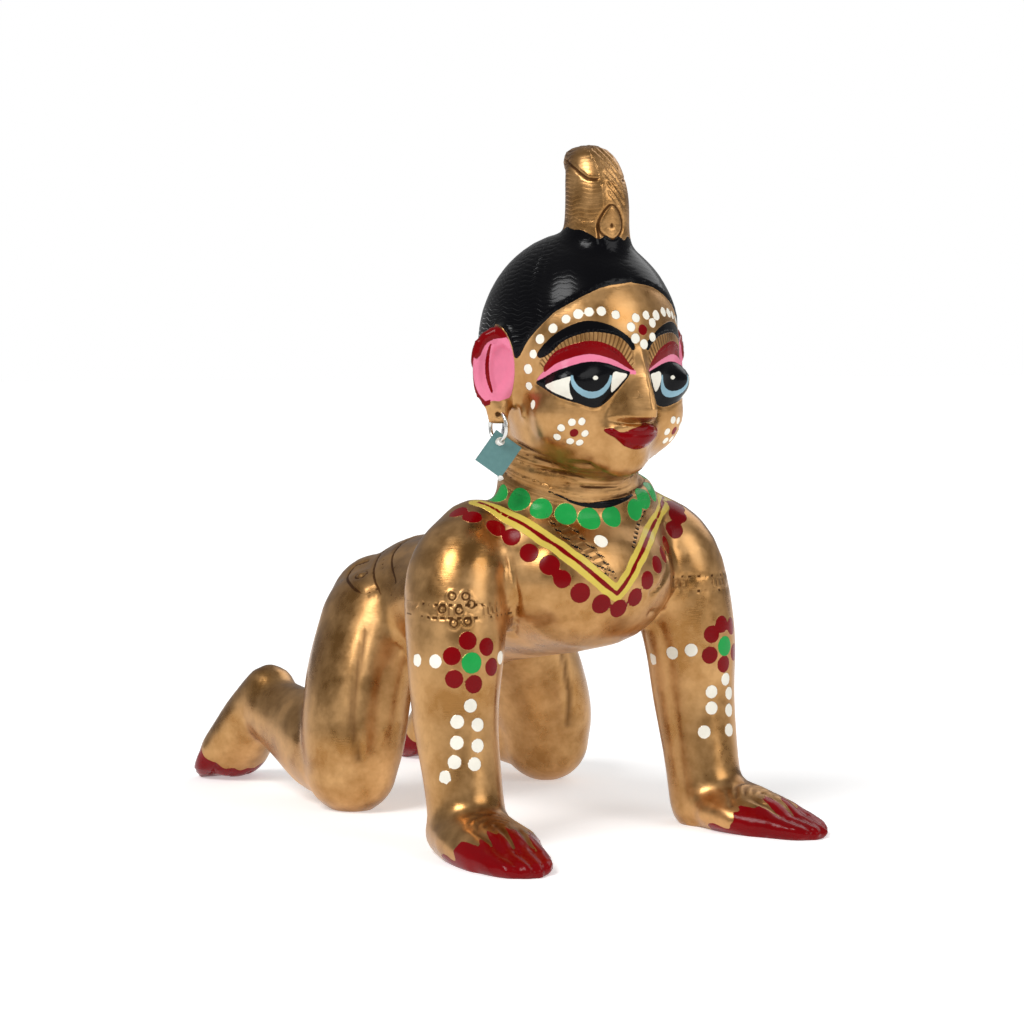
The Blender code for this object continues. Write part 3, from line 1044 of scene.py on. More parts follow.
@dataclass
class Ear:
    """An ear: a thin disc with a raised rim round its outer edge, a hollow bowl and a bare lobe."""

    side: float
    centre: Point = (15.5, -24.2, 68.0)
    radii: Point = (2.9, 1.3, 5.5)
    turn: float = 38.0
    rim_radius: float = 0.85
    rim_inset: float = 0.3
    rim_lift: float = 0.6
    rim_angles: tuple[float, float] = (-75.0, 140.0)
    lobe: Form = ((-0.6, 0.2, -6.0), (2.0, 1.2, 2.2))
    wire_drop: float = 0.35
    half_widths: tuple[float, float] = (3.0, 3.7)
    half_height: float = 6.15
    bowl_depth: float = 0.75
    rim_width: float = 0.7
    rim_steps: int = 9
    pierced_groove: Groove = Groove(0.35, 1.2)

    def placing(self) -> Matrix:
        """Returns the matrix of the ear, whose face looks along its own -Y."""
        turn = Matrix.Rotation(math.radians(self.turn), 4, "Z")
        return side_matrix(self.side) @ Matrix.Translation(Vector(self.centre)) @ turn

    def add(self, clay: Clay) -> None:
        """Adds the disc, the lobe and the rim.

        Args:
            clay: What the forms are added to.
        """
        placing = self.placing()
        clay.ball(((0.0, 0.0, 0.0), self.radii), placing)
        clay.ball(self.lobe, placing)
        width, thickness, height = self.radii
        rim = []
        for angle in np.radians(np.linspace(*self.rim_angles, self.rim_steps)):
            across = (width - self.rim_inset) * math.cos(angle)
            up = (height - self.rim_inset) * math.sin(angle)
            rim.append((across, -self.rim_lift * thickness, up, self.rim_radius, self.rim_radius))
        clay.loft(rim, placing, Vector((0.0, 1.0, 0.0)))

    def bowl(self, own: Array) -> Array:
        """Returns the distance to the edge of the bowl, negative inside it."""
        return (np.hypot((own[:, 0] + 0.2) / 2.6, (own[:, 2] - 0.2) / 4.9) - 1.0) * 2.9

    def reach(self, surface: Surface) -> Array:
        """Measures how far the skin is from the ear.

        Args:
            surface: The casting's skin.

        Returns:
            The distance of each vertex to the outside of the ear, negative in it.
        """
        across, through, up = surface.within(self.placing()).T
        half_width = np.where(across < 0.0, *self.half_widths)
        outline = (np.hypot(across / half_width, (up - 0.1) / self.half_height) - 1.0) * 3.3
        foot = 0.35 * np.abs(across - 1.9) - 5.4 - up
        return np.maximum(np.maximum(outline, foot), np.abs(through + 0.2) - 1.9)

    def carve(self, surface: Surface) -> None:
        """Hollows the bowl, raises the fold inside it and pierces the lobe that holds the ring.

        Args:
            surface: The casting's skin.
        """
        own = surface.within(self.placing())
        across, through, up = own.T
        inside = smooth_step(-self.bowl(own), 0.0, 1.4) * (through < 0.3) * (np.abs(through) < 3.0)
        fold = np.exp(-(((across - 0.7 + 0.055 * up**2) / 0.55) ** 2))
        surface.relief -= self.bowl_depth * inside * (1.0 - 0.75 * fold * (np.abs(up) < 3.6))
        if self.side < 0.0:
            pierced = np.hypot(across - self.lobe[0][0], up - self.lobe[0][2] + self.wire_drop)
            surface.engrave(np.where(np.abs(through) < 2.6, pierced, FAR), self.pierced_groove)

    def paint(self, surface: Surface) -> None:
        """Lays the pink of the bowl and the dark red of the rim and the fold.

        Args:
            surface: The casting's skin.
        """
        across, through, up = surface.within(self.placing()).T
        reach = self.reach(surface)
        inner = reach + self.rim_width * smooth_step(across, -1.8, 0.4)
        inner = np.maximum(inner, up - 4.3 + 0.12 * across)
        inner = np.maximum(inner, (np.hypot((across - 0.1) / 3.3, (up - 0.4) / 5.2) - 1.0) * 3.5)
        inner = np.maximum(inner, through - 0.45)
        surface.lay(Enamel.PINK, np.maximum(inner - 0.3, reach))
        rim = np.maximum(np.maximum(-inner, reach), np.minimum(0.4 - across, 3.4 - up))
        surface.lay(Enamel.RED, rim)
        taper = 0.3 - 0.16 * (up / 3.6) ** 2
        fold = np.abs(across - 0.9 - 0.05 * up + 0.055 * up**2) - taper
        fold = np.maximum(np.maximum(fold, np.abs(up - 0.2) - 3.5), inner)
        surface.lay(Enamel.RED, np.maximum(fold, np.abs(through) - 2.4))


@dataclass
class Head:
    """The neck, the skull with its painted hair, and the stylised face."""

    neck: Points = (
        (1.5, -16.5, 42.0, 16.5, 10.0), (1.5, -19.0, 46.5, 14.2, 10.8), (0.0, -20.0, 51.0, 10.8, 9.6),
        (0.0, -21.0, 57.0, 10.4, 10.2),
    )
    nose: Points = (
        (0.0, -37.0, 70.0, 1.0, 1.1), (0.0, -38.7, 67.0, 1.1, 1.3), (0.0, -39.7, 63.9, 1.6, 1.6),
    )
    neck_folds: tuple[float, ...] = (52.6, 53.9, 55.2, 56.5, 57.7)
    skull: Form = ((0.0, -24.2, 71.0), (13.8, 14.0, 16.3))
    hair: Form = ((0.0, -22.7, 71.4), (14.4, 14.2, 16.3))
    jaw: Form = ((0.0, -25.4, 60.6), (11.6, 11.2, 9.2))
    chin: Form = ((0.0, -32.8, 56.0), (4.8, 3.8, 3.5))
    upper_lip: Form = ((0.0, -35.5, 59.6), (4.6, 3.0, 1.2))
    lower_lip: Form = ((0.0, -35.2, 58.0), (3.4, 3.0, 1.3))
    cheek: Form = ((6.4, -30.0, 62.0), (6.0, 5.6, 6.4))
    eye: Form = ((6.8, -33.3, 66.4), (5.0, 3.2, 3.4))
    nostril: Form = ((1.8, -38.4, 62.2), (1.5, 1.6, 1.2))
    chart_radius: float = 14.3
    chart_core: float = 6.0
    off_chart: float = 60.0
    wedge: Points = (
        (60.4, 3.4, -37.0), (60.8, 4.1, -38.6), (61.4, 4.3, -41.3), (62.5, 3.9, -41.5),
        (64.4, 3.1, -40.9), (67.0, 2.1, -39.9), (69.0, 1.4, -39.0), (71.2, 0.8, -38.2),
    )
    ridge_half_width: float = 0.5
    lid_relief: float = 0.3
    lip_relief: float = 0.4
    hair_relief: float = 0.3
    strand_pitch: float = 0.72
    lash_pitch: float = 0.56
    lash_centre: tuple[float, float] = (7.8, 61.0)
    parting_groove: Groove = Groove(0.16, 0.5, dark=False)
    fold_depth: float = 0.46
    fold_axis: float = -20.5
    crack_half_width: float = 0.2
    crease_pitch: float = 0.62
    brow_gain: float = 0.16
    mark_radius: float = 0.78
    flower_radius: float = 0.62
    petal_radius: float = 0.55
    pearl_radii: tuple[float, float] = (0.6, 0.74)
    pearl_seed: int = 11
    hairline: Points = (
        (0.0, 80.3), (24.0, 79.4), (49.8, 76.5), (57.3, 75.1), (68.6, 72.4), (75.8, 69.9), (79.0, 69.8),
        (84.0, 71.0), (98.0, 67.0), (112.0, 60.0), (140.0, 57.0), (180.0, 56.5),
    )
    brow: Points = (
        (62.8, 70.2), (58.3, 71.5), (49.1, 73.3), (34.3, 74.7), (19.4, 74.1), (7.4, 72.3), (4.6, 71.2),
        (5.6, 70.9), (9.0, 71.9), (16.5, 73.0), (31.4, 73.4), (46.0, 72.3), (55.1, 70.5), (61.0, 69.8),
    )
    red_lid: Points = (
        (59.5, 68.2), (57.8, 68.9), (50.1, 70.8), (31.4, 72.1), (16.6, 71.1), (8.4, 69.1), (4.9, 67.9),
        (8.0, 68.2), (18.4, 69.5), (32.5, 70.2), (48.9, 69.1), (58.5, 67.7),
    )
    lashes: Points = (
        (62.0, 69.0), (58.0, 70.2), (49.1, 72.0), (31.4, 73.6), (16.5, 73.1), (9.0, 71.9), (6.0, 70.6),
        (5.3, 68.6), (8.4, 68.7), (16.6, 70.5), (31.4, 71.6), (50.1, 70.4), (59.0, 68.3),
    )
    pink_lid: Points = (
        (65.5, 66.5), (63.9, 66.9), (58.5, 68.0), (48.9, 69.6), (32.5, 70.7), (18.4, 70.0), (6.1, 68.2),
        (4.6, 67.6), (7.0, 67.4), (22.5, 68.6), (34.3, 68.8), (48.1, 67.8), (58.9, 66.7),
    )
    almond: Points = (
        (66.0, 66.2), (58.9, 67.0), (48.1, 68.1), (34.3, 69.1), (22.5, 69.0), (10.1, 68.0), (7.0, 67.5),
        (12.1, 65.5), (20.5, 63.4), (26.0, 62.75), (31.0, 62.75), (38.0, 63.3), (48.4, 64.1),
        (59.1, 65.3),
    )
    outer_white: Points = (
        (58.6, 65.8), (54.0, 66.2), (48.0, 66.65), (41.6, 67.1), (42.4, 66.2), (42.3, 64.9),
        (41.4, 63.9), (48.0, 64.5), (55.0, 65.2),
    )
    inner_white: Points = (
        (17.2, 67.7), (12.6, 67.6), (8.6, 67.3), (11.8, 66.2), (14.6, 65.4), (17.6, 64.9), (18.4, 66.3),
    )
    iris: tuple[float, float] = (30.1, 67.0)
    iris_radius: float = 2.95
    lips: Points = (
        (-22.0, 59.65), (-17.1, 59.85), (-11.6, 59.25), (-6.3, 59.7), (-0.3, 60.15), (3.7, 60.55),
        (9.0, 60.35), (13.0, 60.1), (18.0, 59.8), (22.0, 59.5), (21.5, 58.8), (17.0, 57.9),
        (12.0, 57.4), (6.5, 57.05), (-0.5, 56.8), (-8.0, 57.25), (-12.2, 57.95), (-15.6, 58.6),
        (-19.5, 59.05),
    )
    forehead_pearls: Points = (
        (68.5, 63.1), (71.4, 65.7), (70.6, 68.1), (66.3, 70.2), (61.7, 72.3), (53.5, 73.8),
        (45.8, 75.1), (38.5, 75.8), (31.8, 76.1), (24.2, 76.2), (15.3, 75.7),
    )
    mark_petals: Points = (
        (-6.0, 74.0), (-1.9, 75.3), (6.3, 75.7), (10.6, 74.6), (9.4, 72.6), (2.5, 71.6), (-3.4, 72.4),
    )
    mark: tuple[float, float] = (2.2, 73.6)
    cheek_flower: tuple[float, float] = (40.7, 59.2)
    cheek_petals: Points = (
        (48.0, 59.9), (41.7, 60.7), (36.0, 60.8), (34.1, 59.1), (37.6, 57.8), (43.4, 58.0),
        (51.1, 58.6),
    )

    def add(self, clay: Clay) -> None:
        """Adds the forms of the head.

        Args:
            clay: What the forms are added to.
        """
        clay.loft(self.neck)
        for form in (self.skull, self.hair, self.jaw, self.chin, self.upper_lip, self.lower_lip):
            clay.ball(form)
        clay.loft(self.nose)
        for side in SIDES:
            for form in (self.cheek, self.eye, self.nostril):
                clay.ball(form, side_matrix(side))

    def charted(self, places: Points) -> list[tuple[float, float]]:
        """Turns places in degrees and millimetres to the chart's millimetres."""
        arc = math.radians(self.chart_radius)
        return [(place[0] * arc, place[1]) for place in places]

    def chart(self, surface: Surface) -> tuple[Array, Array]:
        """Charts the vertices, the same on both sides of the face.

        Args:
            surface: The casting's skin.

        Returns:
            Each vertex's arc from the middle of the face, and its z.
        """
        arc = np.abs(azimuth_chart(surface.points)) * math.radians(self.chart_radius)
        away = np.hypot(surface.points[:, 0], surface.points[:, 1] - HEAD_AXIS[1])
        on_face = (surface.points[:, 2] > NECK_TOP) & (away > self.chart_core)
        return np.where(on_face, arc, self.off_chart), surface.points[:, 2]

    def outlined(self, chart: tuple[Array, Array], corners: Points) -> Array:
        """Returns the distance to a shape's smooth outline in the chart, negative inside it."""
        return polygon_distance(*chart, closed_curve(self.charted(corners)))

    def lip_distance(self, surface: Surface) -> Array:
        """Measures how far the skin is from the lips, which aren't quite the same on both sides.

        Args:
            surface: The casting's skin.

        Returns:
            The distance of each vertex, negative in the lips.
        """
        _, y, z = surface.points.T
        arc = azimuth_chart(surface.points) * math.radians(self.chart_radius)
        return np.where((z > NECK_TOP) & (y < -30.0), self.outlined((arc, z), self.lips), FAR)

    def hair_distance(self, surface: Surface) -> Array:
        """Measures how far the skin is from the hairline.

        Args:
            surface: The casting's skin.

        Returns:
            The distance of each vertex, negative in the hair.
        """
        angle = np.abs(azimuth_chart(surface.points))
        knots = smooth_run(self.hairline, 6)
        level = np.interp(angle, [knot[0] for knot in knots], [knot[1] for knot in knots])
        slope = np.interp(angle, (0.0, 60.0, 72.0, 78.0, 95.0, 120.0), (1.0, 0.8, 0.6, 0.95, 0.6, 0.95))
        return (level - surface.points[:, 2]) * slope

    def ear_distance(self, surface: Surface) -> Array:
        """Returns the distance to the nearer ear, negative in it."""
        return np.minimum(*[Ear(side).reach(surface) for side in SIDES])

    def carve(self, surface: Surface) -> None:
        """Raises the lids, lips and hair, and folds the neck.

        Args:
            surface: The casting's skin.
        """
        chart = self.chart(surface)
        arc, up = chart
        lids = self.outlined(chart, self.almond)
        surface.relief += self.lid_relief * (1.0 - smooth_step(lids, -2.0, 0.1))
        surface.relief -= 0.12 * np.exp(-((lids / 0.3) ** 2))
        surface.relief += self.lip_relief * (1.0 - smooth_step(self.lip_distance(surface), -1.0, 0.1))
        parting = np.where(arc < 4.6, np.abs(up - 58.95 - 0.05 * arc), FAR)
        surface.engrave(parting, self.parting_groove)
        surface.relief += self.hair_relief * smooth_step(-self.hair_distance(surface), -0.1, 0.5)
        self.fold_neck(surface)

    def wedge_nose(self, surface: Surface) -> None:
        """Presses the nose into a straight wedge with a sharp ridge, a pointed tip and a flat base.

        Args:
            surface: The casting's skin.
        """
        x, y, z = surface.points.T
        levels, halves, ridges = np.array(self.wedge).T
        half = np.interp(z, levels, halves)
        ridge = np.interp(z, levels, ridges)
        cheek = [surface.from_front(row[1], row[0]).y for row in self.wedge]
        beside = np.interp(z, levels, cheek)
        flat = self.ridge_half_width * smooth_step(-z, -71.0, -62.0)
        share = np.clip((np.hypot(x, 0.1) - flat) / (half - flat), 0.0, 1.0)
        target = ridge + (beside - ridge) * share
        inside = (np.abs(x) < half) & (z > levels[0]) & (z < levels[-1]) & (y < -31.0)
        surface.reshape(np.where(inside, target, y))
        surface.soften((np.abs(x) < 4.4) & (z > 60.2) & (z < 63.2) & (y < -34.0), 2)

    def comb(self, surface: Surface) -> None:
        """Cuts the fine wavy strands of the hair and the lashes over the lids.

        Args:
            surface: The casting's skin.
        """
        x, y, z = surface.points.T
        turn = np.arctan2(x, HEAD_AXIS[1] - y)
        cycles = (z + 0.2 * np.sin(turn * 17.0) + 0.12 * np.sin(turn * 41.0 + z)) / self.strand_pitch
        back = smooth_step(np.abs(turn), 0.9, 1.4)
        hair = np.maximum(self.hair_distance(surface) + 0.4, 0.4 - self.ear_distance(surface))
        surface.hatch(np.where(z > NECK_TOP, hair, FAR), cycles, 1.0)
        surface.stroke_depth *= np.where(z > NECK_TOP, 0.15 + 0.85 * back, 1.0)
        chart = self.chart(surface)
        fan = np.arctan2(chart[0] - self.lash_centre[0], chart[1] - self.lash_centre[1]) * 10.5
        surface.hatch(self.outlined(chart, self.lashes), fan / self.lash_pitch, 1.0)

    def fold_neck(self, surface: Surface) -> None:
        """Cuts the uneven folds round the neck, which hold the old polish.

        Args:
            surface: The casting's skin.
        """
        x, y, z = surface.points.T
        turn = np.arctan2(x, -(y - self.fold_axis))
        near = (np.hypot(x, y - self.fold_axis) < 13.2) & (z > 49.0)
        sag = 3.2 * np.cos(np.minimum(np.abs(turn), 1.75))
        for index, level in enumerate(self.neck_folds):
            wave = 0.3 * np.sin(turn * (1.6 + 0.5 * index) + 1.7 * index)
            distance = np.where(near, np.abs(z - level - wave + sag), FAR)
            fade = 0.6 + 0.4 * np.sin(turn * (2.3 + index) + 2.3 * index)
            surface.relief -= self.fold_depth * fade * np.exp(-((distance / 0.42) ** 2))
            surface.lay_patina_and_reflection(0.45 * fade * np.exp(-((distance / 0.4) ** 2)))
            crack = distance + 0.35 * (1.0 - fade)
            surface.groove = np.minimum(surface.groove, crack - self.crack_half_width)
        patches = np.where(near & (z < 57.5), 0.6 * np.sin(turn * 4.1 + z * 1.3) - 0.2, FAR)
        creases = (z + sag + 0.25 * np.sin(turn * 3.0 + z)) / self.crease_pitch
        surface.hatch(patches, creases, 0.38)
        surface.lay_patina_and_reflection(np.where(near & (z < 57.0), 0.08, 0.0))

    def paint(self, surface: Surface) -> None:
        """Lays the hair, the brows, the eyes, the lips and the pearls.

        Args:
            surface: The casting's skin.
        """
        self.paint_hair(surface)
        chart = self.chart(surface)
        for enamel, corners in (
            (Enamel.RED, self.red_lid),
            (Enamel.PINK, self.pink_lid),
            (Enamel.BLACK, self.almond),
            (Enamel.WHITE, self.outer_white),
            (Enamel.WHITE, self.inner_white),
        ):
            surface.lay(enamel, self.outlined(chart, corners))
        surface.lay(Enamel.BLACK, self.outlined(chart, self.brow) - self.brow_gain)
        surface.lay(Enamel.RED, self.lip_distance(surface))
        self.paint_iris(surface, *chart)
        self.paint_pearls(surface)

    def paint_hair(self, surface: Surface) -> None:
        """Lays the black of the hair, up to the uneven foot of the crest.

        Args:
            surface: The casting's skin.
        """
        x, y, z = surface.points.T
        foot = np.minimum(86.7 + 0.5 * (y + 31.5), 88.4)
        foot = foot + 0.25 * np.sin(x * 3.1) + 0.2 * np.sin(y * 2.3)
        hair = np.maximum(self.hair_distance(surface), 0.1 - self.ear_distance(surface))
        surface.lay(Enamel.BLACK, np.where(z > NECK_TOP, np.maximum(hair, z - foot), FAR))

    def paint_iris(self, surface: Surface, arc: Array, up: Array) -> None:
        """Lays the pale crescent and the glint in each eye.

        Args:
            surface: The casting's skin.
            arc: Each vertex's arc from the middle of the face.
            up: Each vertex's z.
        """
        across, middle = self.charted([self.iris])[0]
        whole = np.hypot(arc - across, up - middle) - self.iris_radius
        pupil = np.hypot(arc - across, up - middle - 0.62) - self.iris_radius * 0.9
        crescent = np.maximum(np.maximum(whole, -pupil), up - middle - 0.3)
        surface.lay(Enamel.BLUE, crescent)
        glint = np.hypot((arc - across + 0.45) * 0.75, up - middle + 0.1) - 0.3
        surface.lay(Enamel.WHITE, glint)

    def paint_pearls(self, surface: Surface) -> None:
        """Lays the pearls of the forehead, the mark between the brows and the flowers on the cheeks.

        Args:
            surface: The casting's skin.
        """
        rng = np.random.default_rng(self.pearl_seed)
        pearls = mirrored(self.forehead_pearls) + list(self.mark_petals)
        places = [surface.round_axis(*place) for place in pearls]
        surface.dots(Enamel.WHITE, places, rng.uniform(*self.pearl_radii, len(places)))
        surface.dots(Enamel.RED, [surface.round_axis(*self.mark)], [self.mark_radius])
        hearts = [surface.round_axis(*place) for place in mirrored([self.cheek_flower])]
        surface.dots(Enamel.RED, hearts, [self.flower_radius] * len(hearts))
        petals = [surface.round_axis(*place) for place in mirrored(self.cheek_petals)]
        surface.dots(Enamel.WHITE, petals, [self.petal_radius] * len(petals))


@dataclass
class Crest:
    """The tied crest of hair, which leans back to a curled tip."""

    knot: Points = (
        (0.0, -26.6, 83.0, 6.6, 7.0), (0.0, -27.2, 87.0, 4.6, 4.8), (0.0, -27.4, 92.3, 4.3, 4.4),
        (0.0, -26.0, 96.6, 3.9, 3.5), (0.0, -23.4, 97.9, 2.7, 2.2),
    )
    leaf: Points = ((-2.3, 87.6), (-2.1, 89.6), (-0.6, 91.4), (0.9, 89.8), (1.1, 87.8), (-0.5, 86.4))
    crease: Points = ((3.2, -24.2, 98.0), (3.9, -27.8, 96.4), (3.7, -30.0, 95.3), (2.6, -31.4, 95.2))
    leaf_heart: tuple[float, float] = (-0.6, 88.4)
    stalk: float = -2.4
    barb_middle: float = 0.3
    barb_half_width: float = 1.25
    barb_levels: tuple[float, float] = (91.6, 101.0)
    barb_pitch: float = 1.15
    strand_pitch: float = 0.62
    leaf_groove: Groove = Groove(0.24, 0.55)
    heart_groove: Groove = Groove(0.22, 0.7)
    stalk_groove: Groove = Groove(0.2, 0.5)
    barb_groove: Groove = Groove(0.22, 0.6, dark=False)
    crease_groove: Groove = Groove(0.3, 0.6)

    def add(self, clay: Clay) -> None:
        """Adds the crest."""
        clay.loft(self.knot)

    def carve(self, surface: Surface) -> None:
        """Cuts the leaf at its foot, the barbs above it and the crease of the curled tip.

        Args:
            surface: The casting's skin.
        """
        x, y, z = surface.points.T
        front = (z > 84.5) & (y < -22.0)
        low = front & (y < -27.0) & (z < 91.6)
        outline = np.abs(polygon_distance(x, z, closed_curve(self.leaf)))
        surface.engrave(np.where(low, outline, FAR), self.leaf_groove)
        heart = np.hypot(x - self.leaf_heart[0], (z - self.leaf_heart[1]) * 0.6)
        surface.engrave(np.where(low, heart, FAR), self.heart_groove)
        stalk = np.where(front & (z < 88.6) & (z > 85.0), np.abs(x - self.stalk), FAR)
        surface.engrave(stalk, self.stalk_groove)
        beside = x - self.barb_middle
        along = z - 0.45 * (y + 31.4)
        here = front & (np.abs(beside) < self.barb_half_width) & (z > 91.0)
        for level in np.arange(*self.barb_levels, self.barb_pitch):
            barb = np.abs(along - level + 1.2 * beside)
            surface.engrave(np.where(here, barb, FAR), self.barb_groove)
        for side in SIDES:
            run = smooth_run(on_side(self.crease, side), 5)
            surface.engrave(surface.line([surface.touch(place) for place in run]), self.crease_groove)

    def comb(self, surface: Surface) -> None:
        """Cuts the fine strands round the crest.

        Args:
            surface: The casting's skin.
        """
        x, y, z = surface.points.T
        foot = 89.4 + 0.4 * np.sin(y * 1.3)
        body = np.where(z > 86.0, np.maximum(foot - z, 1.8 - np.abs(x + 0.2)), FAR)
        surface.hatch(body, (z + 0.15 * np.sin(y * 2.0)) / self.strand_pitch, 0.1)


class Casting:
    """The whole idol as one casting."""

    grain = 0.945
    softening = 4
    refining = 3

    def __init__(self) -> None:
        """Sets out the parts of the child's body."""
        self.trunk = Trunk()
        self.head = Head()
        self.crest = Crest()
        self.ears = [Ear(side) for side in SIDES]
        self.legs = [Leg(1.0, Vector((6.0, 7.0, 0.4))), Leg(-1.0, Vector())]
        self.arms = [
            Arm(
                side=1.0,
                hand_turn=13.0,
                shift=Vector((0.4, -0.4, 1.0)),
                armlet=(35.2, 37.4),
                flower=(21.5, -33.0, 26.8),
                petals=(
                    (19.0, -33.0, 28.7), (18.7, -33.0, 25.6), (21.3, -33.0, 24.1), (21.0, -32.9, 30.1),
                    (23.3, -32.1, 29.6), (24.0, -31.8, 25.6),
                ),
                pearls=(
                    (13.7, -25.5, 24.6), (14.3, -29.5, 25.9), (16.1, -31.8, 26.4), (21.8, -32.9, 21.8),
                    (19.1, -33.0, 20.1), (22.6, -32.6, 19.6), (19.0, -33.1, 17.7), (22.4, -33.0, 17.1),
                    (17.7, -33.0, 14.2), (22.0, -33.4, 14.2),
                ),
            ),
            Arm(
                side=-1.0,
                hand_turn=5.0,
                shift=Vector(),
                armlet_rings=(
                    (-24.2, -31.3, 34.5), (-24.7, -30.3, 36.4), (-23.1, -31.3, 36.4),
                    (-22.5, -31.8, 35.3), (-26.0, -29.7, 34.6), (-25.0, -31.2, 32.7),
                    (-23.3, -32.1, 33.0),
                ),
                flower=(-23.1, -32.9, 27.2),
                petals=(
                    (-23.5, -32.5, 30.3), (-20.6, -32.9, 29.3), (-19.7, -32.8, 26.4),
                    (-22.8, -33.0, 24.2), (-25.4, -31.9, 25.0), (-25.6, -31.6, 28.2),
                ),
                pearls=(
                    (-27.3, -29.9, 27.4), (-28.3, -26.7, 27.3), (-17.5, -32.0, 27.5),
                    (-23.3, -32.9, 21.2), (-25.1, -32.2, 19.0), (-22.3, -33.2, 18.5),
                    (-25.3, -32.4, 16.1), (-22.5, -33.5, 15.6), (-25.7, -32.4, 13.4),
                    (-23.2, -33.8, 13.1), (-26.7, -31.5, 11.2),
                ),
            ),
        ]
        self.painted = [self.trunk, *self.arms, *self.legs, self.head, *self.ears]
        self.parts = [*self.painted, self.crest]

    def fine(self, points: Array) -> Array:
        """Finds which vertices lie where the casting is carved or painted.

        Args:
            points: The vertices.

        Returns:
            True for each vertex in the region.
        """
        x, y, z = points.T
        head = (z > 53.0) & ((y < -23.0) | (z > 84.0) | ((np.abs(x) > 11.5) & (y < -19.0) & (z < 77.0)))
        chest = (y < -22.0) & (z > 29.0)
        arms = (y < -24.0) & (z > 11.0)
        hands = (y < -32.0) & (z < 8.0)
        toes = (y > 45.5) & (z < 8.5)
        neck = (z > 46.0) & (y < -12.0) & (np.abs(x) < 15.0)
        belt = (z > 31.5) & (y > 4.5) & (y < 22.5) & (y > 22.0 - 1.02 * (z - 24.0))
        return head | chest | arms | hands | toes | neck | belt

    def finest(self, points: Array) -> Array:
        """Finds which vertices lie at the eyes, lips, ears, crest, ringed flower and rope.

        Args:
            points: The vertices.

        Returns:
            True for each vertex in the region.
        """
        x, y, z = points.T
        azimuth = np.abs(azimuth_chart(points))
        eyes = (azimuth < 69.0) & (z > 61.5) & (z < 76.0)
        lips = (azimuth < 56.0) & (z > 56.0) & (z < 61.6)
        ears = (np.abs(x) > 13.0) & (z > 61.0) & (z < 75.0)
        crest = (z > 85.5) & (y < -27.5)
        rings = (x < -20.5) & (x > -27.6) & (y < -24.0) & (z > 31.2) & (z < 38.4)
        left, right = -5.0 - (z - 37.0), 2.2 + (z - 37.0)
        rope = (y < -24.0) & (x > left) & (x < right) & (z > 35.0) & (z < 50.5)
        return ((eyes | lips | ears) & (z > NECK_TOP)) | crest | rings | rope

    def build(self) -> Surface:
        """Makes the casting in the order of its real making.

        Returns:
            The skin: fused, cut flat at its soles, refined, carved and painted.
        """
        clay = Clay()
        for part in self.parts:
            part.add(clay)
        surface = Surface(clay.fused(self.grain, self.softening))
        for region in (self.fine, self.finest):
            surface.refine(region, self.refining)
        self.head.wedge_nose(surface)
        for part in self.parts:
            part.carve(surface)
        surface.carve()
        self.head.comb(surface)
        self.crest.comb(surface)
        for part in self.painted:
            part.paint(surface)
        return surface


def finished_piece(name: str, skin: Skin, material: Material) -> Piece:
    """Writes a skin modelled in millimetres to a smooth object over the frame's origin.

    Args:
        name: The piece's name.
        skin: What was modelled, which is used up.
        material: The finish it gets.

    Returns:
        The piece, at the origin, with its place in its mesh.
    """
    skin.transform(Matrix.Diagonal((MM, MM, MM, 1.0)) @ Matrix.Translation(-FOOTPRINT_MIDDLE))
    mesh = written_mesh(name, skin)
    mesh.shade_smooth()
    mesh.materials.append(material)
    return linked(name, mesh)


def written_mesh(name: str, skin: Skin) -> bpy.types.Mesh:
    """Writes a bmesh, which is used up, to a new mesh.

    Args:
        name: The mesh's name.
        skin: What was modelled.

    Returns:
        The mesh.
    """
    mesh = bpy.data.meshes.new(name)
    skin.to_mesh(mesh)
    skin.free()
    return mesh


def linked(name: str, data: bpy.types.ID) -> Piece:
    """Makes an object of a mesh, a lamp or a camera, and puts it in the scene.

    Args:
        name: The object's name.
        data: Its mesh, lamp or camera.

    Returns:
        The object.
    """
    made = bpy.data.objects.new(name, data)
    bpy.context.scene.collection.objects.link(made)
    return made


def keep_values(piece: Piece, name: str, values: Array) -> None:
    """Stores one number for each vertex under a name that a material reads.

    Args:
        piece: The piece that keeps the numbers.
        name: The name that the material reads.
        values: The numbers, in the order of the vertices.
    """
    layer = piece.data.attributes.new(name, "FLOAT", "POINT")
    layer.data.foreach_set("value", values.astype(np.float32))


def add_node(tree: Tree, kind: str, inputs: dict | None = None, **settings: object) -> bpy.types.Node:
    """Adds a node to a tree.

    Args:
        tree: The tree that gets the node.
        kind: The node's type.
        inputs: For each input's name or number, the socket that it is linked to or its value.
        settings: The node's own settings.

    Returns:
        The node.
    """
    made = tree.nodes.new(kind)
    for name, value in settings.items():
        setattr(made, name, value)
    for key, value in (inputs or {}).items():
        if isinstance(value, Socket):
            tree.links.new(value, made.inputs[key])
        else:
            made.inputs[key].default_value = value
    return made


def new_finish(name: str) -> tuple[Material, Tree, bpy.types.Node, Socket]:
    """Starts the material of a finish.

    Args:
        name: What the real material is called.

    Returns:
        The material, its tree, its shader and the place on the piece in its own axes.
    """
    made = bpy.data.materials.new(name)
    made.use_nodes = True
    tree = made.node_tree
    place = add_node(tree, "ShaderNodeTexCoord").outputs["Object"]
    return made, tree, tree.nodes["Principled BSDF"], place


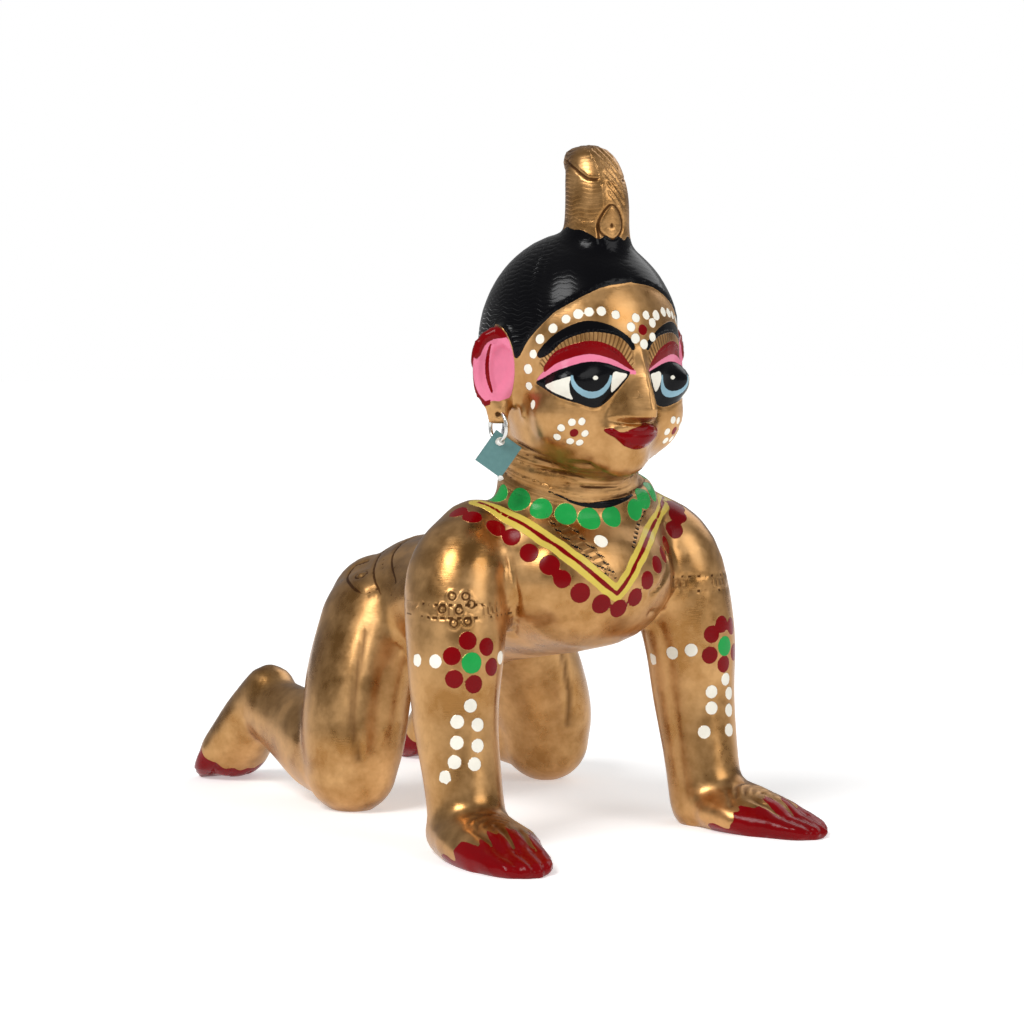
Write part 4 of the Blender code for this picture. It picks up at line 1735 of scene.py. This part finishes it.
@dataclass(frozen=True)
class PaintedBrass:
    """Sand-cast brass, filed and buffed, with patina in its recesses, a painted dark reflection on the thigh
    and brushed-on gloss enamels.
    """

    polished: str = "#D0A26C"
    rubbed: str = "#9E713F"
    patina_and_reflection: str = "#4A2C15"
    enamels: dict[Enamel, str] = field(
        default_factory=lambda: {
            Enamel.PINK: "#E77F9C",
            Enamel.YELLOW: "#D6BE55",
            Enamel.RED: "#7C0006",
            Enamel.GREEN: "#21A04A",
            Enamel.BLACK: "#040407",
            Enamel.WHITE: "#F6F2E4",
            Enamel.BLUE: "#8FB6C6",
        }
    )
    enamel_roughness: float = 0.2
    enamel_specular: float = 0.14

    def material(self) -> Material:
        """Builds the finish.

        Returns:
            The material: warm metal, darker where old polish stays and at the painted thigh reflection, and
                glossy where enamel lies on it.
        """
        made, tree, shader, place = new_finish("cast brass, buffed and enamelled")
        # Buffing leaves tone patches of about 6 mm, and an uneven gloss with them
        patches = add_node(
            tree, "ShaderNodeTexNoise", {"Vector": place, "Scale": 160.0, "Detail": 4.0, "Roughness": 0.6}
        ).outputs["Fac"]
        strokes, worn_and_reflection = self.wear_and_reflection(tree, place)
        covered, colour = self.enamelled(tree, place, self.metal(tree, patches, worn_and_reflection))
        # Brushed enamel is thicker in some places than in others, so its tone wanders a little
        coats = add_node(
            tree,
            "ShaderNodeMapRange",
            {"Value": patches, "From Min": 0.3, "From Max": 0.7, "To Min": 0.86, "To Max": 1.1},
        ).outputs[0]
        toned = add_node(
            tree,
            "ShaderNodeMix",
            {0: covered, 6: colour, 7: coats},
            data_type="RGBA",
            blend_type="MULTIPLY",
        )
        metal = add_node(tree, "ShaderNodeMath", {0: 1.0, 1: covered}, operation="SUBTRACT")
        bare = add_node(
            tree,
            "ShaderNodeMapRange",
            {"Value": patches, "From Min": 0.3, "From Max": 0.7, "To Min": 0.2, "To Max": 0.46},
        ).outputs[0]
        dull = add_node(tree, "ShaderNodeMath", {0: worn_and_reflection, 1: 0.3, 2: bare}, operation="MULTIPLY_ADD")
        gloss = add_node(tree, "ShaderNodeMix", {0: covered, 2: dull.outputs[0], 3: self.enamel_roughness})
        shader.inputs["Specular IOR Level"].default_value = self.enamel_specular
        tree.links.new(toned.outputs[2], shader.inputs["Base Color"])
        tree.links.new(metal.outputs[0], shader.inputs["Metallic"])
        tree.links.new(gloss.outputs[0], shader.inputs["Roughness"])
        tree.links.new(self.relief(tree, place, strokes, covered), shader.inputs["Normal"])
        return made

    def wear_and_reflection(self, tree: Tree, place: Socket) -> tuple[Socket, Socket]:
        """Finds where the brass is dark: old polish in strokes, grooves, hollows and blots, and a painted
        dark reflection on the thigh.

        Args:
            tree: The finish's tree.
            place: The place on the piece.

        Returns:
            How deep the fine strokes are, and how dark the brass is.
        """
        # The stored darkening is patina, and along the thigh crease a painted dark reflection
        stain_and_reflection = add_node(tree, "ShaderNodeAttribute", attribute_name="patina_and_reflection").outputs["Fac"]
        groove = add_node(tree, "ShaderNodeAttribute", attribute_name="groove").outputs["Fac"]
        cycles = add_node(tree, "ShaderNodeAttribute", attribute_name="strokes").outputs["Fac"]
        depth = add_node(tree, "ShaderNodeAttribute", attribute_name="stroke_depth").outputs["Fac"]
        wave = add_node(tree, "ShaderNodeMath", {0: cycles, 1: math.tau}, operation="MULTIPLY").outputs[0]
        wave = add_node(tree, "ShaderNodeMath", {0: wave}, operation="SINE").outputs[0]
        strokes = add_node(
            tree, "ShaderNodeMapRange", {"Value": wave, "From Min": -0.2, "From Max": 0.75}
        ).outputs[0]
        strokes = add_node(tree, "ShaderNodeMath", {0: strokes, 1: depth}, operation="MULTIPLY").outputs[0]
        cut = add_node(
            tree,
            "ShaderNodeMapRange",
            {"Value": groove, "From Min": 0.1, "From Max": -0.08, "To Max": 0.92},
            interpolation_type="SMOOTHSTEP",
        ).outputs[0]
        inked = add_node(tree, "ShaderNodeMath", {0: strokes, 1: 0.7}, operation="MULTIPLY").outputs[0]
        worn_and_reflection = add_node(tree, "ShaderNodeMath", {0: cut, 1: inked}, operation="MAXIMUM").outputs[0]
        # Old polish leaves brown blots of about 3 mm where buffing didn't reach
        blots = add_node(
            tree, "ShaderNodeTexNoise", {"Vector": place, "Scale": 330.0, "Detail": 5.0, "Roughness": 0.65}
        ).outputs["Fac"]
        blots = add_node(
            tree, "ShaderNodeMapRange", {"Value": blots, "From Min": 0.6, "From Max": 0.78, "To Max": 0.2}
        ).outputs[0]
        for darker in (stain_and_reflection, blots):
            worn_and_reflection = add_node(tree, "ShaderNodeMath", {0: worn_and_reflection, 1: darker}, operation="MAXIMUM").outputs[0]
        return strokes, worn_and_reflection

    def metal(self, tree: Tree, patches: Socket, worn_and_reflection: Socket) -> Socket:
        """Colours the bare brass.

        Args:
            tree: The finish's tree.
            patches: The patches that buffing leaves.
            worn_and_reflection: How dark the brass is.

        Returns:
            The brass's colour, between polished, rubbed and dark.
        """
        buffed = add_node(
            tree, "ShaderNodeMapRange", {"Value": patches, "From Min": 0.35, "From Max": 0.65}
        ).outputs[0]
        tone = add_node(
            tree,
            "ShaderNodeMix",
            {0: buffed, 6: linear(self.rubbed), 7: linear(self.polished)},
            data_type="RGBA",
        ).outputs[2]
        return add_node(
            tree, "ShaderNodeMix", {0: worn_and_reflection, 6: tone, 7: linear(self.patina_and_reflection)}, data_type="RGBA"
        ).outputs[2]

    def enamelled(self, tree: Tree, place: Socket, colour: Socket) -> tuple[Socket, Socket]:
        """Lays the enamels over the brass, each over those before it.

        Args:
            tree: The finish's tree.
            place: The place on the piece.
            colour: The brass's colour.

        Returns:
            Where any enamel lies, and the colour of brass and enamels.
        """
        # A brush leaves an edge that wanders by about a twentieth of a millimetre
        grit = add_node(tree, "ShaderNodeTexNoise", {"Vector": place, "Scale": 2600.0, "Detail": 2.0})
        wander = add_node(
            tree, "ShaderNodeMath", {0: grit.outputs["Fac"], 1: 0.5}, operation="SUBTRACT"
        ).outputs[0]
        masks = []
        for enamel in Enamel:
            distance = add_node(tree, "ShaderNodeAttribute", attribute_name=f"paint_{enamel.value}")
            edge = add_node(
                tree,
                "ShaderNodeMath",
                {0: wander, 1: 0.12, 2: distance.outputs["Fac"]},
                operation="MULTIPLY_ADD",
            ).outputs[0]
            mask = add_node(
                tree,
                "ShaderNodeMapRange",
                {"Value": edge, "From Min": 0.05, "From Max": -0.05},
                interpolation_type="SMOOTHSTEP",
            ).outputs[0]
            colour = add_node(
                tree,
                "ShaderNodeMix",
                {0: mask, 6: colour, 7: linear(self.enamels[enamel])},
                data_type="RGBA",
            ).outputs[2]
            masks.append(mask)
        covered = masks[0]
        for mask in masks[1:]:
            covered = add_node(tree, "ShaderNodeMath", {0: covered, 1: mask}, operation="MAXIMUM").outputs[0]
        return covered, colour

    def relief(self, tree: Tree, place: Socket, strokes: Socket, covered: Socket) -> Socket:
        """Lifts the enamel, cuts the strokes and scratches the brass.

        Args:
            tree: The finish's tree.
            place: The place on the piece.
            strokes: How deep the fine strokes are.
            covered: Where any enamel lies.

        Returns:
            The bumped normal.
        """
        # Buffing leaves scratches of about a fifth of a millimetre by one
        stretch = add_node(tree, "ShaderNodeMapping", {"Vector": place, "Scale": (900.0, 900.0, 5200.0)})
        scratches = add_node(
            tree, "ShaderNodeTexNoise", {"Vector": stretch.outputs[0], "Scale": 1.0, "Detail": 2.0}
        ).outputs["Fac"]
        # Enamel stands about a tenth of a millimetre proud, and strokes are cut about as deep
        height = add_node(
            tree, "ShaderNodeMath", {0: scratches, 1: 0.16, 2: covered}, operation="MULTIPLY_ADD"
        ).outputs[0]
        height = add_node(
            tree, "ShaderNodeMath", {0: strokes, 1: -0.8, 2: height}, operation="MULTIPLY_ADD"
        ).outputs[0]
        return add_node(
            tree, "ShaderNodeBump", {"Strength": 0.6, "Distance": 0.1 * MM, "Height": height}
        ).outputs[0]


@dataclass(frozen=True)
class SilveredWire:
    """Drawn wire with a bright nickel finish and fine draw marks along it."""

    bright: str = "#DADAD6"

    def material(self) -> Material:
        """Builds the finish: bright neutral metal with slight dull patches.

        Returns:
            The material.
        """
        made, tree, shader, place = new_finish("nickel-plated wire")
        # Drawing leaves marks of about half a millimetre
        marks = add_node(tree, "ShaderNodeTexNoise", {"Vector": place, "Scale": 1800.0, "Detail": 2.0})
        rough = add_node(
            tree, "ShaderNodeMapRange", {"Value": marks.outputs["Fac"], "To Min": 0.12, "To Max": 0.34}
        )
        shader.inputs["Base Color"].default_value = linear(self.bright)
        shader.inputs["Metallic"].default_value = 1.0
        tree.links.new(rough.outputs[0], shader.inputs["Roughness"])
        return made


@dataclass(frozen=True)
class TealCard:
    """Printed card under a thin varnish, with its fibres just showing."""

    face: str = "#4F7878"
    fibre: str = "#5F8A88"

    def material(self) -> Material:
        """Builds the finish: dull teal with paler fibres and a slight sheen of varnish.

        Returns:
            The material.
        """
        made, tree, shader, place = new_finish("varnished teal card")
        # Card fibres are finer than the render shows, so they are drawn about two thirds of a millimetre long
        fibres = add_node(tree, "ShaderNodeTexNoise", {"Vector": place, "Scale": 1500.0, "Detail": 5.0})
        colour = add_node(
            tree,
            "ShaderNodeMix",
            {0: fibres.outputs["Fac"], 6: linear(self.face), 7: linear(self.fibre)},
            data_type="RGBA",
        )
        relief = add_node(
            tree, "ShaderNodeBump", {"Strength": 0.3, "Distance": 0.03 * MM, "Height": fibres.outputs["Fac"]}
        )
        shader.inputs["Roughness"].default_value = 0.45
        tree.links.new(colour.outputs[2], shader.inputs["Base Color"])
        tree.links.new(relief.outputs[0], shader.inputs["Normal"])
        return made


@dataclass(frozen=True)
class CottonThread:
    """White twisted cotton, with its twist just showing."""

    strand: str = "#F2F0EA"
    shade: str = "#C9C5BC"

    def material(self) -> Material:
        """Builds the finish: soft matt white with a fine slanting twist.

        Returns:
            The material.
        """
        made, tree, shader, place = new_finish("twisted cotton thread")
        # The twist is finer than the render shows, so it is drawn about three quarters of a millimetre long
        twist = add_node(
            tree,
            "ShaderNodeTexWave",
            {"Vector": place, "Scale": 480.0, "Distortion": 1.0},
            bands_direction="DIAGONAL",
        )
        colour = add_node(
            tree,
            "ShaderNodeMix",
            {0: twist.outputs["Fac"], 6: linear(self.shade), 7: linear(self.strand)},
            data_type="RGBA",
        )
        shader.inputs["Roughness"].default_value = 0.85
        tree.links.new(colour.outputs[2], shader.inputs["Base Color"])
        return made


@dataclass
class EarRing:
    """The silvered wire ring through the right ear lobe, its thread and the knot under the tag."""

    wire: float = 0.6
    radius: float = 2.1
    thread: float = 0.34
    tag_width: float = 4.4
    tag_height: float = 5.2
    tag_inset: float = 1.2
    tag_turn: float = 25.0
    knot_radius: float = 0.5
    knot_ripple: float = 0.05
    thread_turns: int = 5
    thread_step: float = 0.16
    thread_bed: float = 0.12
    wire_sides: int = 14
    loop_steps: int = 56

    def hole(self) -> Vector:
        """Returns the middle of the hole in the lobe."""
        ear = Ear(-1.0)
        return ear.placing() @ Vector(ear.lobe[0])

    def lowest(self) -> Vector:
        """Returns the lowest point of the middle of the ring's wire."""
        return self.hole() - Vector((0.0, 0.0, 2.0 * self.radius))

    def loop(self, centre: Vector, radius: float, wire: float, turn: Matrix) -> Skin:
        """Makes a closed loop of round wire.

        Args:
            centre: The middle of the loop.
            radius: How far the middle of the wire is from it.
            wire: The wire's thickness.
            turn: The matrix that turns a loop from the X-Z plane.

        Returns:
            The loop as a new bmesh.
        """
        made = bmesh.new()
        out = Matrix.Translation((radius, 0.0, 0.0))
        bmesh.ops.create_circle(made, segments=self.wire_sides, radius=wire / 2.0, matrix=out)
        bmesh.ops.spin(
            made,
            geom=[*made.verts, *made.edges],
            cent=(0.0, 0.0, 0.0),
            axis=(0.0, 1.0, 0.0),
            angle=math.tau,
            steps=self.loop_steps,
            use_merge=True,
        )
        bmesh.ops.recalc_face_normals(made, faces=made.faces)
        made.transform(Matrix.Translation(centre) @ turn)
        return made

    def build_ring(self) -> Piece:
        """Builds the ring in the place of its solid.

        Returns:
            The ring.
        """
        centre = self.hole() - Vector((0.0, 0.0, self.radius))
        turn = Matrix.Rotation(math.radians(90.0), 4, "Z")
        ring = finished_piece(
            "wire_ring", self.loop(centre, self.radius, self.wire, turn), SilveredWire().material()
        )
        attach(ring, "root")
        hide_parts("ear_ring")
        return ring

    def tag_corner(self) -> Vector:
        """Finds the tag's lowest corner.

        Returns:
            The corner.
        """
        across = self.tag_width / 2.0 - self.tag_inset
        down = self.tag_height / 2.0 - self.tag_inset
        hanging = Matrix.Rotation(math.atan2(across, down), 4, "Y")
        placing = (
            Matrix.Translation(self.lowest())
            @ Matrix.Rotation(-math.radians(self.tag_turn), 4, "Z")
            @ hanging
            @ Matrix.Translation((across, 0.0, -down))
        )
        return placing @ Vector((self.tag_width / 2.0, 0.0, -self.tag_height / 2.0))

    def build_thread(self, material: Material) -> Piece:
        """Builds the turns of thread that bind the ring where the tag hangs.

        Args:
            material: The thread's finish.

        Returns:
            The turns as one piece.
        """
        bound = bmesh.new()
        for index in range(self.thread_turns):
            angle = self.thread_step * (index - self.thread_turns // 2)
            round_ring = (0.0, math.sin(angle) * self.radius, (1.0 - math.cos(angle)) * self.radius)
            place = self.lowest() + Vector(round_ring)
            turn = Matrix.Rotation(angle, 4, "X")
            part = self.loop(place, self.wire / 2.0 + self.thread_bed, self.thread, turn)
            spent = written_mesh("turn", part)
            bound.from_mesh(spent)
            bpy.data.meshes.remove(spent)
        return self.hung(finished_piece("ring_thread", bound, material))

    def build_knot(self, material: Material) -> Piece:
        """Builds the knot of thread at the tag's lowest corner.

        Args:
            material: The thread's finish.

        Returns:
            The knot.
        """
        knot = bmesh.new()
        matrix = Matrix.Translation(self.tag_corner()) @ Matrix.Diagonal((0.8, 1.0, 0.9, 1.0))
        bmesh.ops.create_icosphere(knot, subdivisions=4, radius=self.knot_radius, matrix=matrix)
        for vert in knot.verts:
            swirl = math.sin(9.0 * vert.co.z + 7.0 * vert.co.x) * self.knot_ripple
            vert.co += vert.normal * swirl
        return self.hung(finished_piece("tag_knot", knot, material))

    def hung(self, piece: Piece) -> Piece:
        """Lets a piece of thread ride on the idol.

        Args:
            piece: The thread.

        Returns:
            The same piece.
        """
        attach(piece, "root")
        return piece

    def build(self) -> list[Piece]:
        """Builds the ring, its thread and the knot, and returns them."""
        cotton = CottonThread().material()
        return [self.build_ring(), self.build_thread(cotton), self.build_knot(cotton)]


@dataclass
class Studio:
    """A pale floor, soft lights and a camera at the photograph's viewing angle."""

    azimuth: float = -33.3
    elevation: float = 3.5
    distance: float = 3.5 * 0.1127
    aim: tuple[float, float] = (0.0255 * 0.1127, 0.408 * 0.1127)
    sensor: float = 36.0
    lens: float = 730.0 * 3.5 / 1024.0 * 36.0
    nearest: float = 0.01
    floor_reach: float = 6.0
    floor_glow: float = 0.4
    room_strength: float = 0.3

    def camera(self) -> None:
        """Sets up the camera at the photograph's viewing angle."""
        turn, rise = math.radians(self.azimuth), math.radians(self.elevation)
        back = Vector((
            math.sin(turn) * math.cos(rise), -math.cos(turn) * math.cos(rise), math.sin(rise)
        ))
        right = Vector((math.cos(turn), math.sin(turn), 0.0))
        up = back.cross(right)
        data = bpy.data.cameras.new("camera")
        data.lens = self.lens
        data.sensor_width = self.sensor
        data.clip_start = self.nearest
        made = linked("camera", data)
        place = right * self.aim[0] + up * self.aim[1] + back * self.distance
        made.location = place - FOOTPRINT_MIDDLE * MM
        made.rotation_euler = back.to_track_quat("Z", "Y").to_euler()
        bpy.context.scene.camera = made

    def light(self, name: str, way: Point, spread: float, strength: float) -> None:
        """Adds a broad distant softbox, which lights idol and floor evenly from a direction.

        Args:
            name: The lamp's name.
            way: The direction that it stands in.
            spread: How broad it looks from the idol, in degrees.
            strength: Its strength in watts for each square metre.
        """
        data = bpy.data.lights.new(name, "SUN")
        data.energy = strength
        data.angle = math.radians(spread)
        made = linked(name, data)
        made.location = Vector(way)
        made.rotation_euler = Vector(way).to_track_quat("Z", "Y").to_euler()

    def build(self) -> None:
        """Sets up the camera, the lights and the floor."""
        self.camera()
        self.light("key", (-0.8, -0.25, 0.95), 24.0, 1.7)
        self.light("front fill", (0.35, -1.0, 0.55), 34.0, 0.7)
        self.light("right fill", (0.9, 0.35, 0.7), 40.0, 0.5)
        self.surround()
        self.floor()

    def surround(self) -> None:
        """Puts a soft grey room round the idol, with a white backdrop behind it."""
        world = bpy.data.worlds.new("soft room")
        world.use_nodes = True
        tree = world.node_tree
        seen = add_node(tree, "ShaderNodeLightPath").outputs["Is Camera Ray"]
        background = tree.nodes["Background"]
        background.inputs["Color"].default_value = linear("#FFFFFF")
        strength = add_node(
            tree, "ShaderNodeMapRange", {"Value": seen, "To Min": self.room_strength, "To Max": 1.0}
        )
        tree.links.new(strength.outputs[0], background.inputs["Strength"])
        bpy.context.scene.world = world
        bpy.context.scene.view_settings.view_transform = "Standard"

    def floor(self) -> None:
        """Lays the pale floor."""
        sheet = bmesh.new()
        bmesh.ops.create_grid(sheet, x_segments=1, y_segments=1, size=self.floor_reach)
        made = bpy.data.materials.new("matt white paper")
        made.use_nodes = True
        shader = made.node_tree.nodes["Principled BSDF"]
        shader.inputs["Base Color"].default_value = linear("#F4F4F4")
        shader.inputs["Roughness"].default_value = 0.9
        shader.inputs["Specular IOR Level"].default_value = 0.1
        shader.inputs["Emission Color"].default_value = linear("#FFFFFF")
        shader.inputs["Emission Strength"].default_value = self.floor_glow
        mesh = written_mesh("floor", sheet)
        mesh.materials.append(made)
        linked("floor", mesh)


def dress_node(name: str, material: Material) -> Piece:
    """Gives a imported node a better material, and returns it.

    Args:
        name: The node's name.
        material: The finish that it gets.

    Returns:
        The node's object.
    """
    node = bpy.data.objects[name]
    node.data.materials.clear()
    node.data.materials.append(material)
    return node


def build_idol() -> Piece:
    """Builds the painted casting and lets it stand for its solid.

    Returns:
        The casting as one piece.
    """
    surface = Casting().build()
    piece = finished_piece("radha_casting", surface.skin, PaintedBrass().material())
    for enamel in Enamel:
        keep_values(piece, f"paint_{enamel.value}", surface.paints[enamel])
    # Old polish, and the painted dark reflection along the thigh crease
    keep_values(piece, "patina_and_reflection", surface.patina_and_reflection)
    keep_values(piece, "groove", np.clip(surface.groove, -FAR, FAR))
    keep_values(piece, "strokes", surface.strokes)
    keep_values(piece, "stroke_depth", surface.stroke_depth)
    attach(piece, "root")
    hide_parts("radha_figure")
    return piece


def main() -> None:
    """Builds the studio, the casting, the ring and the tag."""
    logging.basicConfig(level=logging.INFO, format="%(name)s: %(message)s")
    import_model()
    Studio().build()
    pieces = [build_idol(), *EarRing().build(), dress_node("ear_tag", TealCard().material())]
    for piece in pieces:
        piece.data.calc_loop_triangles()
        triangles = len(piece.data.loop_triangles)
        LOG.info("%s: %d triangles of %s", piece.name, triangles, piece.data.materials[0].name)


if __name__ == "__main__":
    main()
